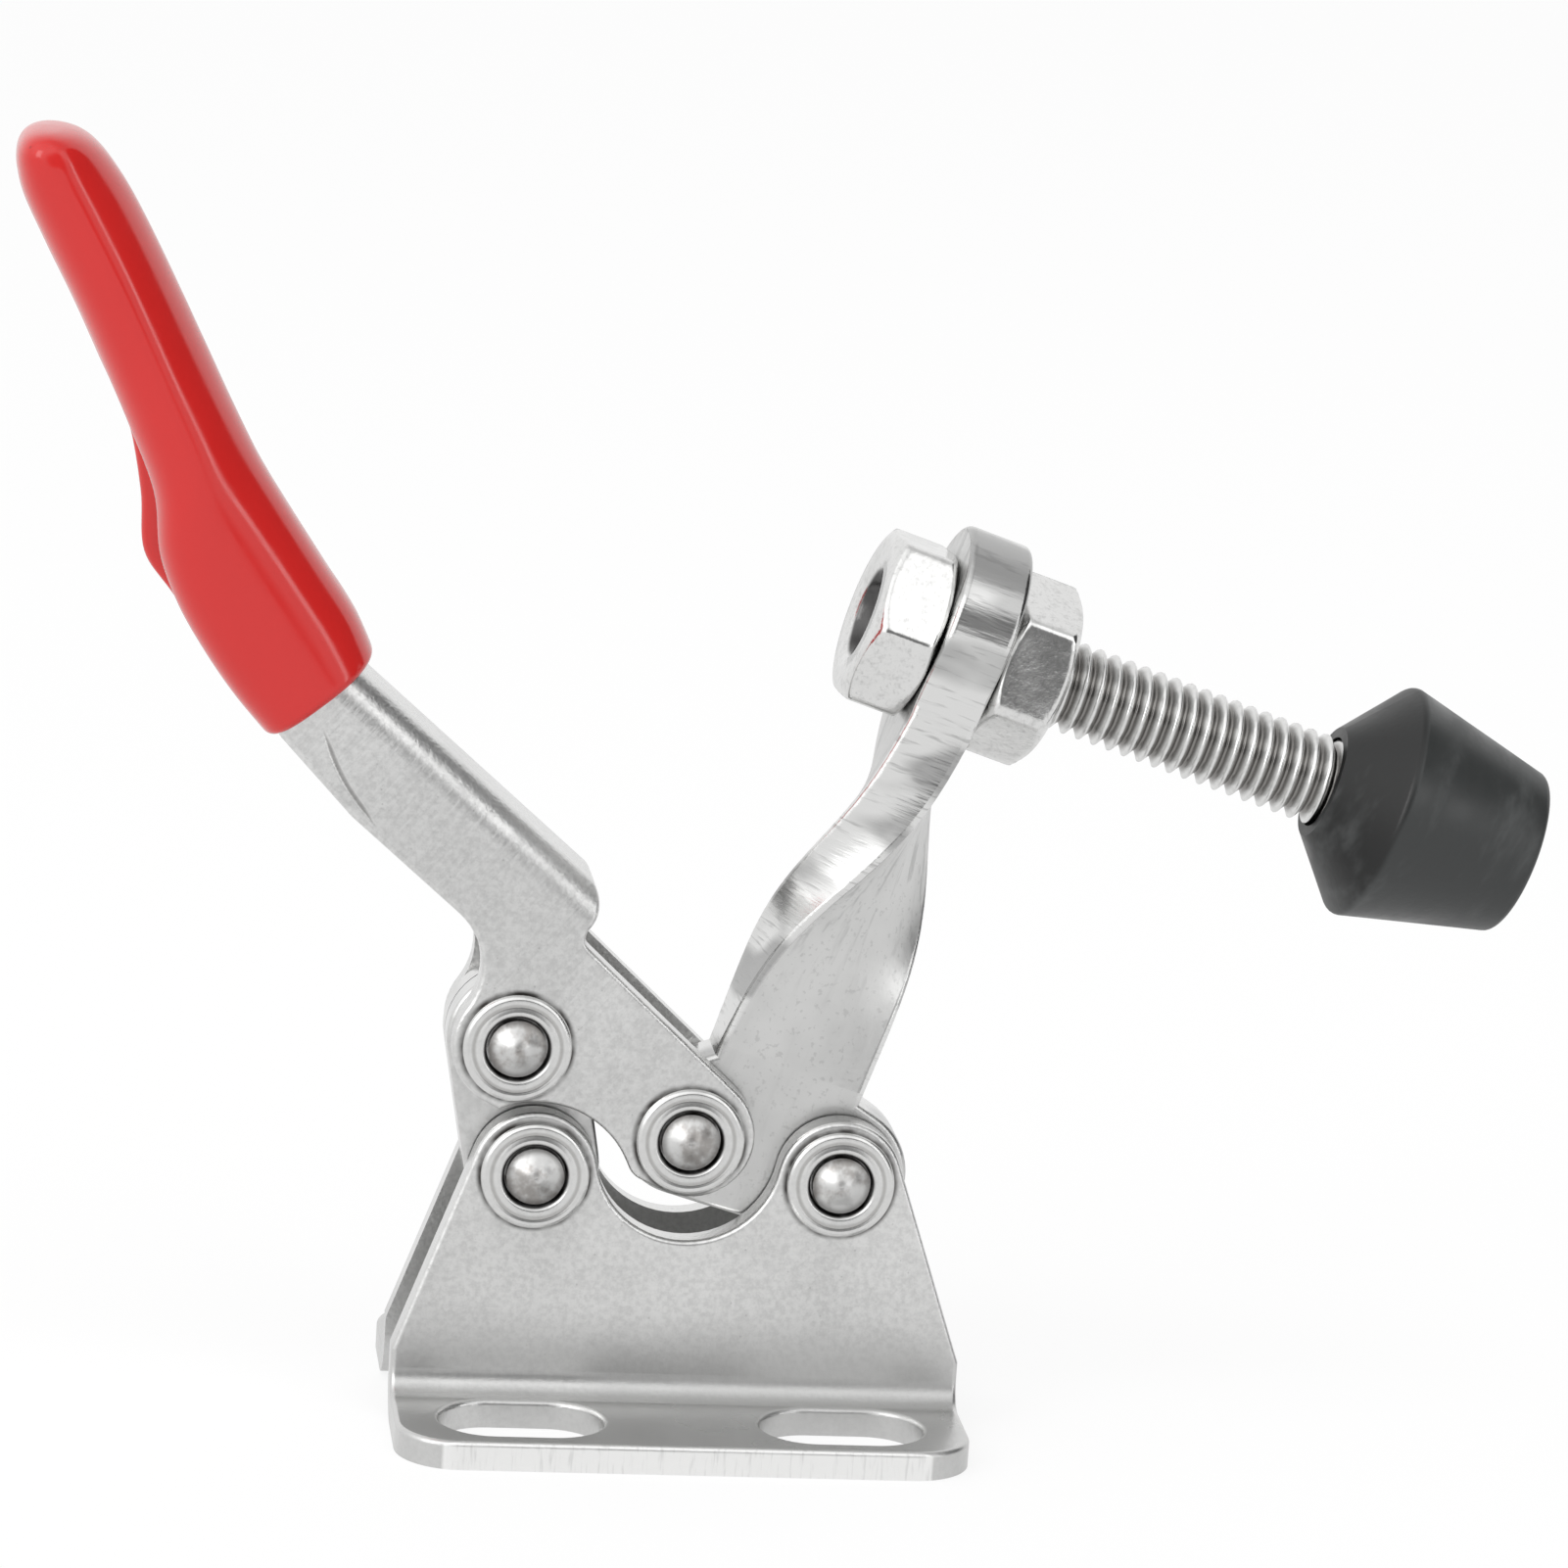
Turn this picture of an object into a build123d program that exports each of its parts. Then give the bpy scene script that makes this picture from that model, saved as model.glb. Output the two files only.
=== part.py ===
"""Small horizontal toggle clamp: two riveted base plates, a channel handle with a dipped vinyl grip,
a pair of link bars and a flat arm with a quarter twist that carries an M4 spindle.

The clamp stands open. Millimetres, +Z up, +X towards the clamping end, the base centred on the origin.
"""
import os
from math import acos, atan2, degrees, pi, radians, sin, sqrt, tan

from build123d import *

os.makedirs("parts", exist_ok=True)

# ---------------------------------------------------------------- sheet, bar and running clearances
sheet = 1.2                 # thickness of the base plates and of the handle channel
arm_thickness = 2.8         # flat bar that the arm is made from
side_clearance = 0.15       # arm and links to the plates on either side
edge_roll = 0.22            # rounded edge that blanking leaves on the outer side of a plate

# ---------------------------------------------------------------- linkage
pivot_height = 10.8         # base pivots above the mounting face
pivot_spacing = 12.94       # link pivot to arm pivot, along X
link_length = 5.6           # link pivot to handle-link pivot
arm_lever = 6.7             # arm pivot to handle-arm pivot
handle_lever = 8.42         # handle-link pivot to handle-arm pivot
arm_lever_angle = 165.4     # direction of the arm lever when the clamp is open, degrees from +X

# ---------------------------------------------------------------- rivets and their ring washers
rivet_diameter = 2.0
rivet_head_diameter = 2.42
rivet_head_rise = 0.12      # top of the domed head above its washer
pivot_clearance = 0.04      # radial, between a rivet and what turns on it
open_pivot_clearance = 0.02  # the split rivet's halves end this far inside the handle's plates
washer_diameter = 4.55
washer_height = 0.42
washer_mouth_diameter = 2.85  # countersink that the rivet head is upset into
washer_land = 0.1           # cylindrical part of the washer's hole
washer_crown = 0.2          # rounding of the washer's outer rim

# ---------------------------------------------------------------- base plates
foot_length = 24.14         # along X
foot_corner_radius = 2.6
foot_bend_radius = 1.0      # inside the bend
ear_radius = 2.66
shoulder_height = 3.0       # the sloping flanks start above it
notch_floor = 8.06          # lowest point of the round notch between the ears
slot_spacing_x = 13.5
slot_length = 6.9
slot_width = 4.5
slot_rim = 1.05             # metal left between a slot and the foot's outer edge
slot_to_bend = 0.1          # flat metal between a slot and the foot's bend

# ---------------------------------------------------------------- links
link_end_radius = 2.85
link_gap = 0.1              # between the two bars

# ---------------------------------------------------------------- handle channel
channel_angle = 139.8       # direction of the straight back, degrees from +X
back_height = 5.3           # back face from the handle-arm pivot, square to the back
web_end = 9.4               # lower end of the web from the same pivot, along the back
channel_depth = 4.7         # back face to the open edges, straight part
straight_length = 20.0      # the open edges narrow from here on, counted along the back
channel_bend_radius = 1.5   # outside the bends between web and side plates
neck_drop = 2.12            # step down from the back to the side plates beyond the web
neck_blend = 0.6
link_boss_radius = 2.72
arm_boss_radius = 2.65
arm_boss_shift = (0.1, 0.15)  # the lower boss is rounded about a point just beside its pivot
waist_blend = 3.0
sweep_radius = 4.25         # the cut-out that passes over the link pivot's ear
sweep_drop = 1.15           # its centre below that pivot
sweep_blend = 1.0

# ---------------------------------------------------------------- vinyl grip
back_bend_start = 24.6      # the back turns steeper here, from the handle-arm pivot along the back
back_bend_radius = 12.5     # of the steel
grip_angle = 117.5          # direction of the upper grip, degrees from +X
grip_wall = 0.58            # coating over the steel
grip_start = 23.8           # collar from the handle-arm pivot, along the back
grip_back_length = 18.1     # straight part of the grip's back
grip_tip_radius = 1.85
grip_round = 1.7            # rounding along the grip
grip_lip = 0.35             # rounding of the collar
steel_setback = 1.1         # the steel ends this far below the end of the grip's straight back
groove_setback = 6.1        # and the groove under the grip this far
# the wavy under edge: share of the straight back, and depth as a share of the tip's width
grip_waves = [(0.717, 0.92), (0.432, 0.99), (0.265, 1.065), (0.124, 1.318)]
palm_distance = 4.82        # thickest place of the lower grip, from the collar along the back
palm_depth = 4.52
collar_slant = 0.73         # the collar's lower corner lies this far up the handle
collar_depth = 5.36

# ---------------------------------------------------------------- arm
arm_eye_width = 8.0
arm_neck_width = 6.6        # from the eye down to the flat root
arm_edge_round = 0.28
arm_angle = 72.0            # direction of the arm, degrees from +X
arm_hub_radius = 3.0        # round the arm pivot
arm_tongue_radius = 2.85    # round the handle-arm pivot
eye_offset = 3.75           # spindle hole from the arm pivot, along X
eye_height = 22.8           # and along Z
eye_end = 4.9               # spindle axis to the end of the arm
twist_top = 3.0             # the quarter twist starts this far below the spindle axis
twist_bottom = 19.2         # and ends here
twist_ease = 0.6            # 0 twists evenly, 1 starts and ends without a crease
shoulder_length = 0.5       # straight and untwisted neck at both ends of the twist
twist_sections = 16

# ---------------------------------------------------------------- spindle, nuts and tip
spindle_diameter = 4.0
thread_pitch = 0.7
thread_crest_diameter = 3.9
thread_depth = 0.38         # 0.54 of the pitch, as on any metric thread
thread_inset = 0.3          # the thread runs this far into the inner nut and the rubber tip
ridge_sink = 0.1            # the thread's ridge is rooted this deep in the rod
spindle_fit = 0.05          # radial clearance in the arm's eye
nut_flats = 7.0
nut_height = 2.9
nut_chamfer_angle = 30.0
nut_face_share = 0.95       # chamfered face circle over the flats
nut_bore_chamfer = 0.3
spindle_recess = 0.7        # the spindle ends inside the outer nut
spindle_chamfer = 0.4
outer_nut_turn = 0.0        # how the hexagons happen to stand, degrees
inner_nut_turn = 36.0
tip_start = 16.9            # entry of the rubber tip from the middle of the eye, along the spindle
tip_rim_distance = 2.4      # entry to rim
tip_front_distance = 6.6    # rim to front face
tip_entry_diameter = 4.9
tip_rim_diameter = 10.3
tip_front_diameter = 7.1
tip_crown = 0.25            # how far the front face bulges
tip_edge_round = 0.35
tip_bore_depth = 5.5

# ---------------------------------------------------------------- derived places
inner_face = arm_thickness / 2 + side_clearance
outer_face = inner_face + sheet
foot_reach = outer_face + foot_bend_radius + slot_to_bend + slot_width + slot_rim  # from y = 0
slot_spacing_y = 2 * (foot_reach - slot_rim - slot_width / 2)
steel_length = grip_back_length - steel_setback
groove_length = grip_back_length - groove_setback
link_pivot = Vector(-pivot_spacing / 2, pivot_height)
arm_pivot = Vector(pivot_spacing / 2, pivot_height)
handle_arm_pivot = arm_pivot + Vector(arm_lever, 0).rotate(Axis.Z, arm_lever_angle)


def circle_crossing(centre_1, radius_1, centre_2, radius_2):
    """The crossing of two circles that lies to the left of the way from the first to the second."""
    way = centre_2 - centre_1
    along = (radius_1 ** 2 - radius_2 ** 2 + way.length ** 2) / (2 * way.length)
    aside = sqrt(radius_1 ** 2 - along ** 2)
    forward = way.normalized()
    return centre_1 + forward * along + forward.rotate(Axis.Z, 90) * aside


handle_link_pivot = circle_crossing(link_pivot, link_length, handle_arm_pivot, handle_lever)

# the notch is one arc, tangent to both ears
ear_over_floor = ear_radius - notch_floor
notch_centre = (pivot_spacing ** 2 / 4 + pivot_height ** 2 - ear_over_floor ** 2) / (
    2 * (ear_over_floor + pivot_height)
)
notch_radius = notch_centre - notch_floor
notch_mouth = pivot_height + (notch_centre - pivot_height) * ear_radius / (ear_radius + notch_radius)

# places on the handle are counted from the handle-arm pivot, along the back and square to it
along_back = Vector(1, 0).rotate(Axis.Z, channel_angle)
across_back = Vector(1, 0).rotate(Axis.Z, channel_angle - 90)


def on_handle(along, across):
    """A point of the handle's side view, in the XZ plane."""
    return handle_arm_pivot + along_back * along + across_back * across


def back_path(inset, start, straight):
    """The back of the handle, moved in by inset: the lower straight, the bend and the upper straight."""
    turn = on_handle(back_bend_start, back_height - inset)
    lower = Line(on_handle(start, back_height - inset), turn)
    bend = JernArc(turn, along_back, back_bend_radius + inset, grip_angle - channel_angle)
    upper = PolarLine(bend @ 1, straight, angle=grip_angle)
    return lower, bend, upper


def moved_in(points, inset):
    """An open row of points moved to its left by inset, square to the line through the neighbours."""
    moved = []
    for before, here, after in zip([points[0], *points], points, [*points[1:], points[-1]]):
        moved.append(here + (after - before).normalized().rotate(Axis.Z, 90) * inset)
    return moved


def on_curve(edge, side_lines):
    """True for an edge that runs along one of the side view's lines."""
    ends = [Vector(spot.X, spot.Z) for spot in (edge @ 0.1, edge @ 0.9)]
    return any(all(line.distance_to(Vertex(*end)) < 0.01 for end in ends) for line in side_lines)


# ---------------------------------------------------------------- base plates
with BuildSketch(Plane.XZ) as base_side:
    with Locations(link_pivot, arm_pivot):
        Circle(ear_radius)
    with Locations((0, shoulder_height / 2)):
        Rectangle(foot_length, shoulder_height)
    make_hull()
    with BuildSketch(mode=Mode.SUBTRACT):
        with Locations((0, notch_centre)):
            Circle(notch_radius)
        with Locations((0, notch_mouth)):
            Rectangle(pivot_spacing, 2 * ear_radius, align=(Align.CENTER, Align.MIN))
        with Locations(link_pivot, arm_pivot):
            Circle(ear_radius, mode=Mode.SUBTRACT)
    with Locations(link_pivot, arm_pivot):
        Circle(rivet_diameter / 2, mode=Mode.SUBTRACT)


def on_outer_skin(edge):
    """True for an edge round the outer side of the front plate or the top of its foot."""
    spot = edge.position_at(0.5)
    bend_zone = spot.Y < -outer_face - 0.01 and spot.Y > -outer_face - foot_bend_radius - 0.01
    if edge.length < edge_roll:
        return False
    if abs(spot.Y + outer_face) < 0.001:
        return spot.Z > sheet + foot_bend_radius + 0.01
    if abs(spot.Z - sheet) < 0.001:
        return spot.Y < -outer_face - foot_bend_radius - 0.01
    from_axis = Vector(0, spot.Y + outer_face + foot_bend_radius, spot.Z - sheet - foot_bend_radius)
    return bend_zone and abs(from_axis.length - foot_bend_radius) < 0.01


with BuildPart() as base_plate_front:
    with BuildSketch(Plane.YZ.offset(-foot_length / 2)):
        with BuildLine():
            Polyline(
                (-inner_face, pivot_height + ear_radius),
                (-outer_face, pivot_height + ear_radius),
                (-outer_face, sheet),
                (-foot_reach, sheet),
                (-foot_reach, 0),
                (-inner_face, 0),
                close=True,
            )
        make_face()
        fillet(vertices().sort_by_distance((-outer_face, sheet))[0], foot_bend_radius)
        fillet(vertices().sort_by_distance((-inner_face, 0))[0], foot_bend_radius + sheet)
    extrude(amount=foot_length)
    with BuildSketch(Plane.XZ):
        add(base_side.sketch)
    extrude(amount=foot_reach, mode=Mode.INTERSECT)
    fillet(edges().filter_by(Axis.Z).group_by(Axis.Y)[0], foot_corner_radius)
    with BuildSketch(Plane.XY):
        with Locations((-slot_spacing_x / 2, -slot_spacing_y / 2), (slot_spacing_x / 2, -slot_spacing_y / 2)):
            SlotOverall(slot_length, slot_width)
    extrude(amount=sheet, mode=Mode.SUBTRACT)
    fillet(edges().filter_by(on_outer_skin), edge_roll)

with BuildPart() as base_plate_rear:
    mirror(base_plate_front.part, about=Plane.XZ)


# ---------------------------------------------------------------- rivets and washers
head_seat = outer_face + washer_land
head_edge = outer_face + washer_height - washer_land
head_top = outer_face + washer_height + rivet_head_rise


def pin_plane(pivot):
    """The plane that holds a pivot's axis, with local Y along the axis."""
    return Plane(origin=(pivot.X, 0, pivot.Y), x_dir=(1, 0, 0), z_dir=(0, 0, 1))


def make_rivet(pivot, inner_end):
    """A rivet whose domed head faces the front; it ends at inner_end, or has a second head if that is 0."""
    head = rivet_head_diameter / 2
    with BuildPart() as rivet:
        with BuildSketch(pin_plane(pivot)):
            with BuildLine():
                Polyline(
                    (0, -head_top),
                    (0, -inner_end),
                    (rivet_diameter / 2, -inner_end),
                    (rivet_diameter / 2, -head_seat),
                    (head, -head_edge),
                )
                rise = head_top - head_edge
                RadiusArc((head, -head_edge), (0, -head_top), (head ** 2 + rise ** 2) / (2 * rise))
            make_face()
        revolve(axis=Axis((pivot.X, 0, pivot.Y), (0, 1, 0)))
        if inner_end == 0:
            mirror(about=Plane.XZ)
    return rivet.part


def make_washer(pivot):
    """A turned ring washer on the front plate: crowned rim, countersunk for the rivet's head."""
    rim = washer_diameter / 2
    top = outer_face + washer_height
    with BuildPart() as washer:
        with BuildSketch(pin_plane(pivot)):
            with BuildLine():
                Polyline(
                    (rivet_diameter / 2, -outer_face),
                    (rim, -outer_face),
                    (rim, -top),
                    (washer_mouth_diameter / 2, -top),
                    (rivet_diameter / 2, -head_seat),
                    close=True,
                )
            make_face()
            fillet(vertices().sort_by_distance((rim, -top))[0], washer_crown)
        revolve(axis=Axis((pivot.X, 0, pivot.Y), (0, 1, 0)))
    return washer.part


pieces = {}
pivots = {
    "base_link": link_pivot,
    "base_arm": arm_pivot,
    "handle_link": handle_link_pivot,
    "handle_arm": handle_arm_pivot,
}
for place, pivot in pivots.items():
    washer = make_washer(pivot)
    pieces[f"washer_{place}_front"] = washer
    pieces[f"washer_{place}_rear"] = mirror(washer, about=Plane.XZ)
    if place == "handle_arm":
        half_rivet = make_rivet(pivot, inner_face + open_pivot_clearance)
        pieces[f"rivet_{place}_front"] = half_rivet
        pieces[f"rivet_{place}_rear"] = mirror(half_rivet, about=Plane.XZ)
    else:
        pieces[f"rivet_{place}"] = make_rivet(pivot, 0)

# ---------------------------------------------------------------- links
link_thickness = (2 * (inner_face - side_clearance) - link_gap) / 2
with BuildPart() as link_front:
    with BuildSketch(Plane.XZ.offset(link_gap / 2)):
        with Locations(link_pivot, handle_link_pivot):
            Circle(link_end_radius)
        make_hull()
        with Locations(link_pivot, handle_link_pivot):
            Circle(rivet_diameter / 2 + pivot_clearance, mode=Mode.SUBTRACT)
    extrude(amount=link_thickness)
    fillet(faces().sort_by(Axis.Y)[0].outer_wire().edges(), edge_roll)

with BuildPart() as link_rear:
    mirror(link_front.part, about=Plane.XZ)

# ---------------------------------------------------------------- handle: side views
with BuildSketch(Plane.XZ) as grip_side:
    with BuildLine():
        grip_back = back_path(-grip_wall, grip_start, grip_back_length)
        tip = JernArc(grip_back[2] @ 1, grip_back[2] % 1, grip_tip_radius, 180)
        under_points = [tip @ 1]
        for share, depth in grip_waves:
            downward = (tip @ 1 - grip_back[2] @ 1) * depth
            under_points.append(grip_back[2] @ share + downward)
        back_line = back_height + grip_wall
        under_points.append(on_handle(grip_start + palm_distance, back_line - palm_depth))
        under_points.append(on_handle(grip_start + collar_slant, back_line - collar_depth))
        under_ends = (tip % 1, (under_points[-1] - under_points[-2]).normalized())
        Spline(*under_points, tangents=under_ends)
        Line(under_points[-1], grip_back[0] @ 0)
    make_face()

with BuildSketch(Plane.XZ) as channel_side:
    boss_centre = handle_arm_pivot + Vector(*arm_boss_shift)
    with Locations(boss_centre):
        Circle(arm_boss_radius)
    with Locations(handle_link_pivot):
        Circle(link_boss_radius)
    make_hull()
    open_edge = back_height - channel_depth
    Polygon(
        on_handle(web_end, back_height),
        on_handle(web_end, back_height - neck_drop),
        boss_centre + across_back * arm_boss_radius,
        boss_centre,
        handle_link_pivot,
        on_handle(handle_lever, open_edge),
        on_handle(straight_length, open_edge),
        on_handle(straight_length, back_height),
        align=None,
    )
    with Locations(link_pivot - Vector(0, sweep_drop)):
        Circle(sweep_radius, mode=Mode.SUBTRACT)
    fillet(vertices().sort_by_distance(on_handle(handle_lever + sheet, open_edge))[0], waist_blend)
    fillet(vertices().sort_by_distance(on_handle(web_end, back_height - neck_drop))[0], neck_blend)
    sweep_ends = vertices().sort_by_distance(link_pivot + Vector(sweep_radius, 0))[0]
    fillet(sweep_ends, sweep_blend)

with BuildSketch(Plane.XZ) as steel_side:
    with BuildLine():
        steel_back = back_path(0, straight_length, steel_length)
        steel_under = moved_in(under_points, grip_wall)
        Line(steel_back[2] @ 1, steel_under[0])
        Spline(*steel_under, tangents=under_ends)
        Polyline(steel_under[-1], on_handle(straight_length, open_edge), steel_back[0] @ 0)
    make_face()
    add(channel_side.sketch)

with BuildSketch(Plane.XZ) as channel_core_side:
    with BuildLine():
        web_inside = back_path(sheet, -foot_length, steel_length + sheet)
        low_corner = web_inside[0] @ 0 - across_back * foot_length
        top_corner = web_inside[2] @ 1 - across_back * foot_length
        Polyline(web_inside[0] @ 0, low_corner, top_corner, web_inside[2] @ 1)
    make_face()

with BuildPart() as channel_core:
    with BuildSketch(Plane.XZ):
        add(channel_core_side.sketch)
    extrude(amount=inner_face, both=True)
    fillet(
        edges().filter_by(lambda e: on_curve(e, web_inside)),
        channel_bend_radius - sheet,
    )

with BuildPart() as handle_channel:
    with BuildSketch(Plane.XZ):
        add(steel_side.sketch)
    extrude(amount=outer_face, both=True)
    back_edges = back_path(0, web_end, steel_length)
    fillet(edges().filter_by(lambda e: on_curve(e, back_edges)), channel_bend_radius)
    add(channel_core.part, mode=Mode.SUBTRACT)
    for pivot in (handle_link_pivot, handle_arm_pivot):
        with BuildSketch(Plane.XZ):
            with Locations(pivot):
                Circle(rivet_diameter / 2)
        extrude(amount=outer_face, both=True, mode=Mode.SUBTRACT)
    # blanked edges all round each side plate, up to where it bends into the web
    bend_lines = back_path(channel_bend_radius, -foot_length, steel_length + foot_length)
    by_side = faces().filter_by(Axis.Y).group_by(Axis.Y)
    rims = by_side[0][0].outer_wire().edges() + by_side[-1][0].outer_wire().edges()
    fillet(rims.filter_by(lambda e: not on_curve(e, bend_lines)), edge_roll)

with BuildPart() as handle_grip:
    with BuildSketch(Plane.XZ):
        add(grip_side.sketch)
    extrude(amount=outer_face + grip_wall, both=True)
    collar_line = (Line(under_points[-1], grip_back[0] @ 0),)
    outline = faces().filter_by(Axis.Y).edges()
    fillet(outline.filter_by(lambda e: not on_curve(e, collar_line)), grip_round)
    fillet(faces().sort_by(lambda f: collar_line[0].distance_to(f.center()))[0].edges(), grip_lip)
    with BuildSketch(Plane.XZ):
        with BuildLine():
            groove_floor = back_path(sheet + 2 * grip_wall, grip_start - foot_length, groove_length)
            near_corner = (groove_floor[0] @ 0) - across_back * foot_length
            far_corner = (groove_floor[2] @ 1) - across_back * foot_length
            Polyline(groove_floor[0] @ 0, near_corner, far_corner, groove_floor[2] @ 1)
        make_face()
    extrude(amount=inner_face - grip_wall, both=True, mode=Mode.SUBTRACT)
    add(handle_channel.part, mode=Mode.SUBTRACT)

# ---------------------------------------------------------------- arm
eye_centre = arm_pivot + Vector(eye_offset, eye_height)
arm_way = Vector(1, 0).rotate(Axis.Z, arm_angle)
spindle_way = Vector(1, 0).rotate(Axis.Z, arm_angle - 90)


def in_space(flat):
    """A point or way of the XZ plane in three dimensions."""
    return Vector(flat.X, 0, flat.Y)


def across_arm(drop, twist):
    """The plane across the arm, drop below the spindle axis; local X runs along the arm's width."""
    width_way = in_space(-spindle_way).rotate(Axis((0, 0, 0), in_space(arm_way)), twist)
    return Plane(origin=in_space(eye_centre - arm_way * drop), x_dir=width_way, z_dir=in_space(arm_way))


def across_spindle(along):
    """The plane across the spindle, along from the middle of the eye; local Y runs up the arm."""
    place = eye_centre + spindle_way * along
    return Plane(origin=in_space(place), x_dir=(0, 1, 0), z_dir=in_space(spindle_way))


spindle_axis = Axis(in_space(eye_centre), in_space(spindle_way))
# local X runs along the spindle from the middle of the eye, local Y up the arm
spindle_plane = Plane(origin=in_space(eye_centre), x_dir=in_space(spindle_way), z_dir=(0, -1, 0))

with BuildPart() as clamp_arm:
    # eye
    with BuildSketch(across_spindle(-arm_thickness / 2)):
        with Locations((0, eye_end - arm_eye_width / 2)):
            Circle(arm_eye_width / 2)
        with Locations((0, shoulder_length - twist_top)):
            Rectangle(arm_neck_width, twist_top, align=(Align.CENTER, Align.MIN))
        make_hull()
        with Locations((0, -twist_top)):
            Rectangle(arm_neck_width, twist_top, align=(Align.CENTER, Align.MIN))
    extrude(amount=arm_thickness)
    rims = faces().filter_by(across_spindle(0)).edges()
    eye_bottom = across_arm(twist_top, 0)
    fillet(rims.filter_by(lambda e: eye_bottom.to_local_coords(e.center()).Z > 0.01), arm_edge_round)
    # flat root with the two pivots, up to a short straight shoulder
    shoulder_corners = []
    for drop in (twist_bottom, twist_bottom + shoulder_length):
        middle = eye_centre - arm_way * drop
        shoulder_corners.append([middle + spindle_way * side * arm_neck_width / 2 for side in (-1, 1)])
    root_corners, hull_corners = shoulder_corners
    with BuildSketch(Plane.XZ):
        with Locations(arm_pivot):
            Circle(arm_hub_radius)
        with Locations(handle_arm_pivot):
            Circle(arm_tongue_radius)
        Polygon(*hull_corners, arm_pivot, handle_arm_pivot, align=None)
        make_hull()
        Polygon(*root_corners, *reversed(hull_corners), align=None)
    extrude(amount=arm_thickness / 2, both=True)
    shoulder = (Line(*root_corners),)
    rims = faces(Select.LAST).filter_by(Axis.Y).edges()
    fillet(rims.filter_by(lambda e: not on_curve(e, shoulder)), arm_edge_round)
    # quarter twist
    for step in range(twist_sections + 1):
        share = step / twist_sections
        turned = share - twist_ease * sin(2 * pi * share) / (2 * pi)
        with BuildSketch(across_arm(twist_bottom + (twist_top - twist_bottom) * share, 90 * turned)):
            RectangleRounded(arm_neck_width, arm_thickness, arm_edge_round)
    loft()
    # holes
    with BuildSketch(across_spindle(0)):
        Circle(spindle_diameter / 2 + spindle_fit)
    extrude(amount=arm_thickness, both=True, mode=Mode.SUBTRACT)
    for pivot in (arm_pivot, handle_arm_pivot):
        with BuildSketch(Plane.XZ):
            with Locations(pivot):
                Circle(rivet_diameter / 2 + pivot_clearance)
        extrude(amount=arm_thickness, both=True, mode=Mode.SUBTRACT)

# ---------------------------------------------------------------- spindle, nuts and tip
outer_nut_start = -arm_thickness / 2 - nut_height
inner_nut_start = arm_thickness / 2
spindle_start = outer_nut_start + spindle_recess
spindle_end = tip_start + tip_bore_depth
thread_start = inner_nut_start + nut_height - thread_inset
thread_run = tip_start + thread_inset - thread_start
root_radius = thread_crest_diameter / 2 - thread_depth

with BuildPart() as spindle:
    with BuildSketch(across_spindle(spindle_start)):
        Circle(spindle_diameter / 2)
    extrude(amount=spindle_end - spindle_start)
    chamfer(edges().filter_by(GeomType.CIRCLE), spindle_chamfer)
    # the rod is turned down to the thread's root where it shows, then the ridge winds round it
    with BuildSketch(across_spindle(thread_start)):
        Circle(spindle_diameter)
        Circle(root_radius, mode=Mode.SUBTRACT)
    extrude(amount=thread_run, mode=Mode.SUBTRACT)
    helix_base = in_space(eye_centre + spindle_way * thread_start)
    helix_way = in_space(spindle_way)
    with BuildLine() as winding:
        Helix(thread_pitch, thread_run, root_radius, center=helix_base, direction=helix_way)
    ridge_start = winding.line @ 0
    ridge_section = Plane(origin=ridge_start, x_dir=ridge_start - helix_base, z_dir=winding.line % 0)
    crest_half = thread_pitch / 16
    flank_slope = tan(radians(30))
    foot_half = crest_half + (thread_depth + ridge_sink) * flank_slope
    with BuildSketch(ridge_section):
        with BuildLine():
            Polyline(
                (-ridge_sink, -foot_half),
                (thread_depth, -crest_half),
                (thread_depth, crest_half),
                (-ridge_sink, foot_half),
                close=True,
            )
        make_face()
    sweep(path=winding.line, is_frenet=True)


def make_nut(start, turn):
    """A hexagon nut on the spindle, chamfered on both faces; turn 0 points a corner to the front."""
    corner = nut_flats / sqrt(3)
    face = nut_flats / 2 * nut_face_share
    slope = (corner - face) * tan(radians(nut_chamfer_angle))
    with BuildPart() as nut:
        with BuildSketch(across_spindle(start)):
            RegularPolygon(nut_flats / 2, 6, major_radius=False, rotation=turn)
        extrude(amount=nut_height)
        with BuildSketch(spindle_plane):
            with BuildLine():
                Polyline(
                    (start, 0),
                    (start, face),
                    (start + slope, corner),
                    (start + nut_height - slope, corner),
                    (start + nut_height, face),
                    (start + nut_height, 0),
                    close=True,
                )
            make_face()
        revolve(axis=spindle_axis, mode=Mode.INTERSECT)
        with BuildSketch(across_spindle(start)):
            Circle(spindle_diameter / 2)
        extrude(amount=nut_height, mode=Mode.SUBTRACT)
        bore_rims = edges().filter_by(GeomType.CIRCLE).group_by(SortBy.RADIUS)[0]
        chamfer(bore_rims, nut_bore_chamfer)
    return nut.part


pieces["lock_nut_outer"] = make_nut(outer_nut_start, outer_nut_turn)
pieces["lock_nut_inner"] = make_nut(inner_nut_start, inner_nut_turn)

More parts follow.
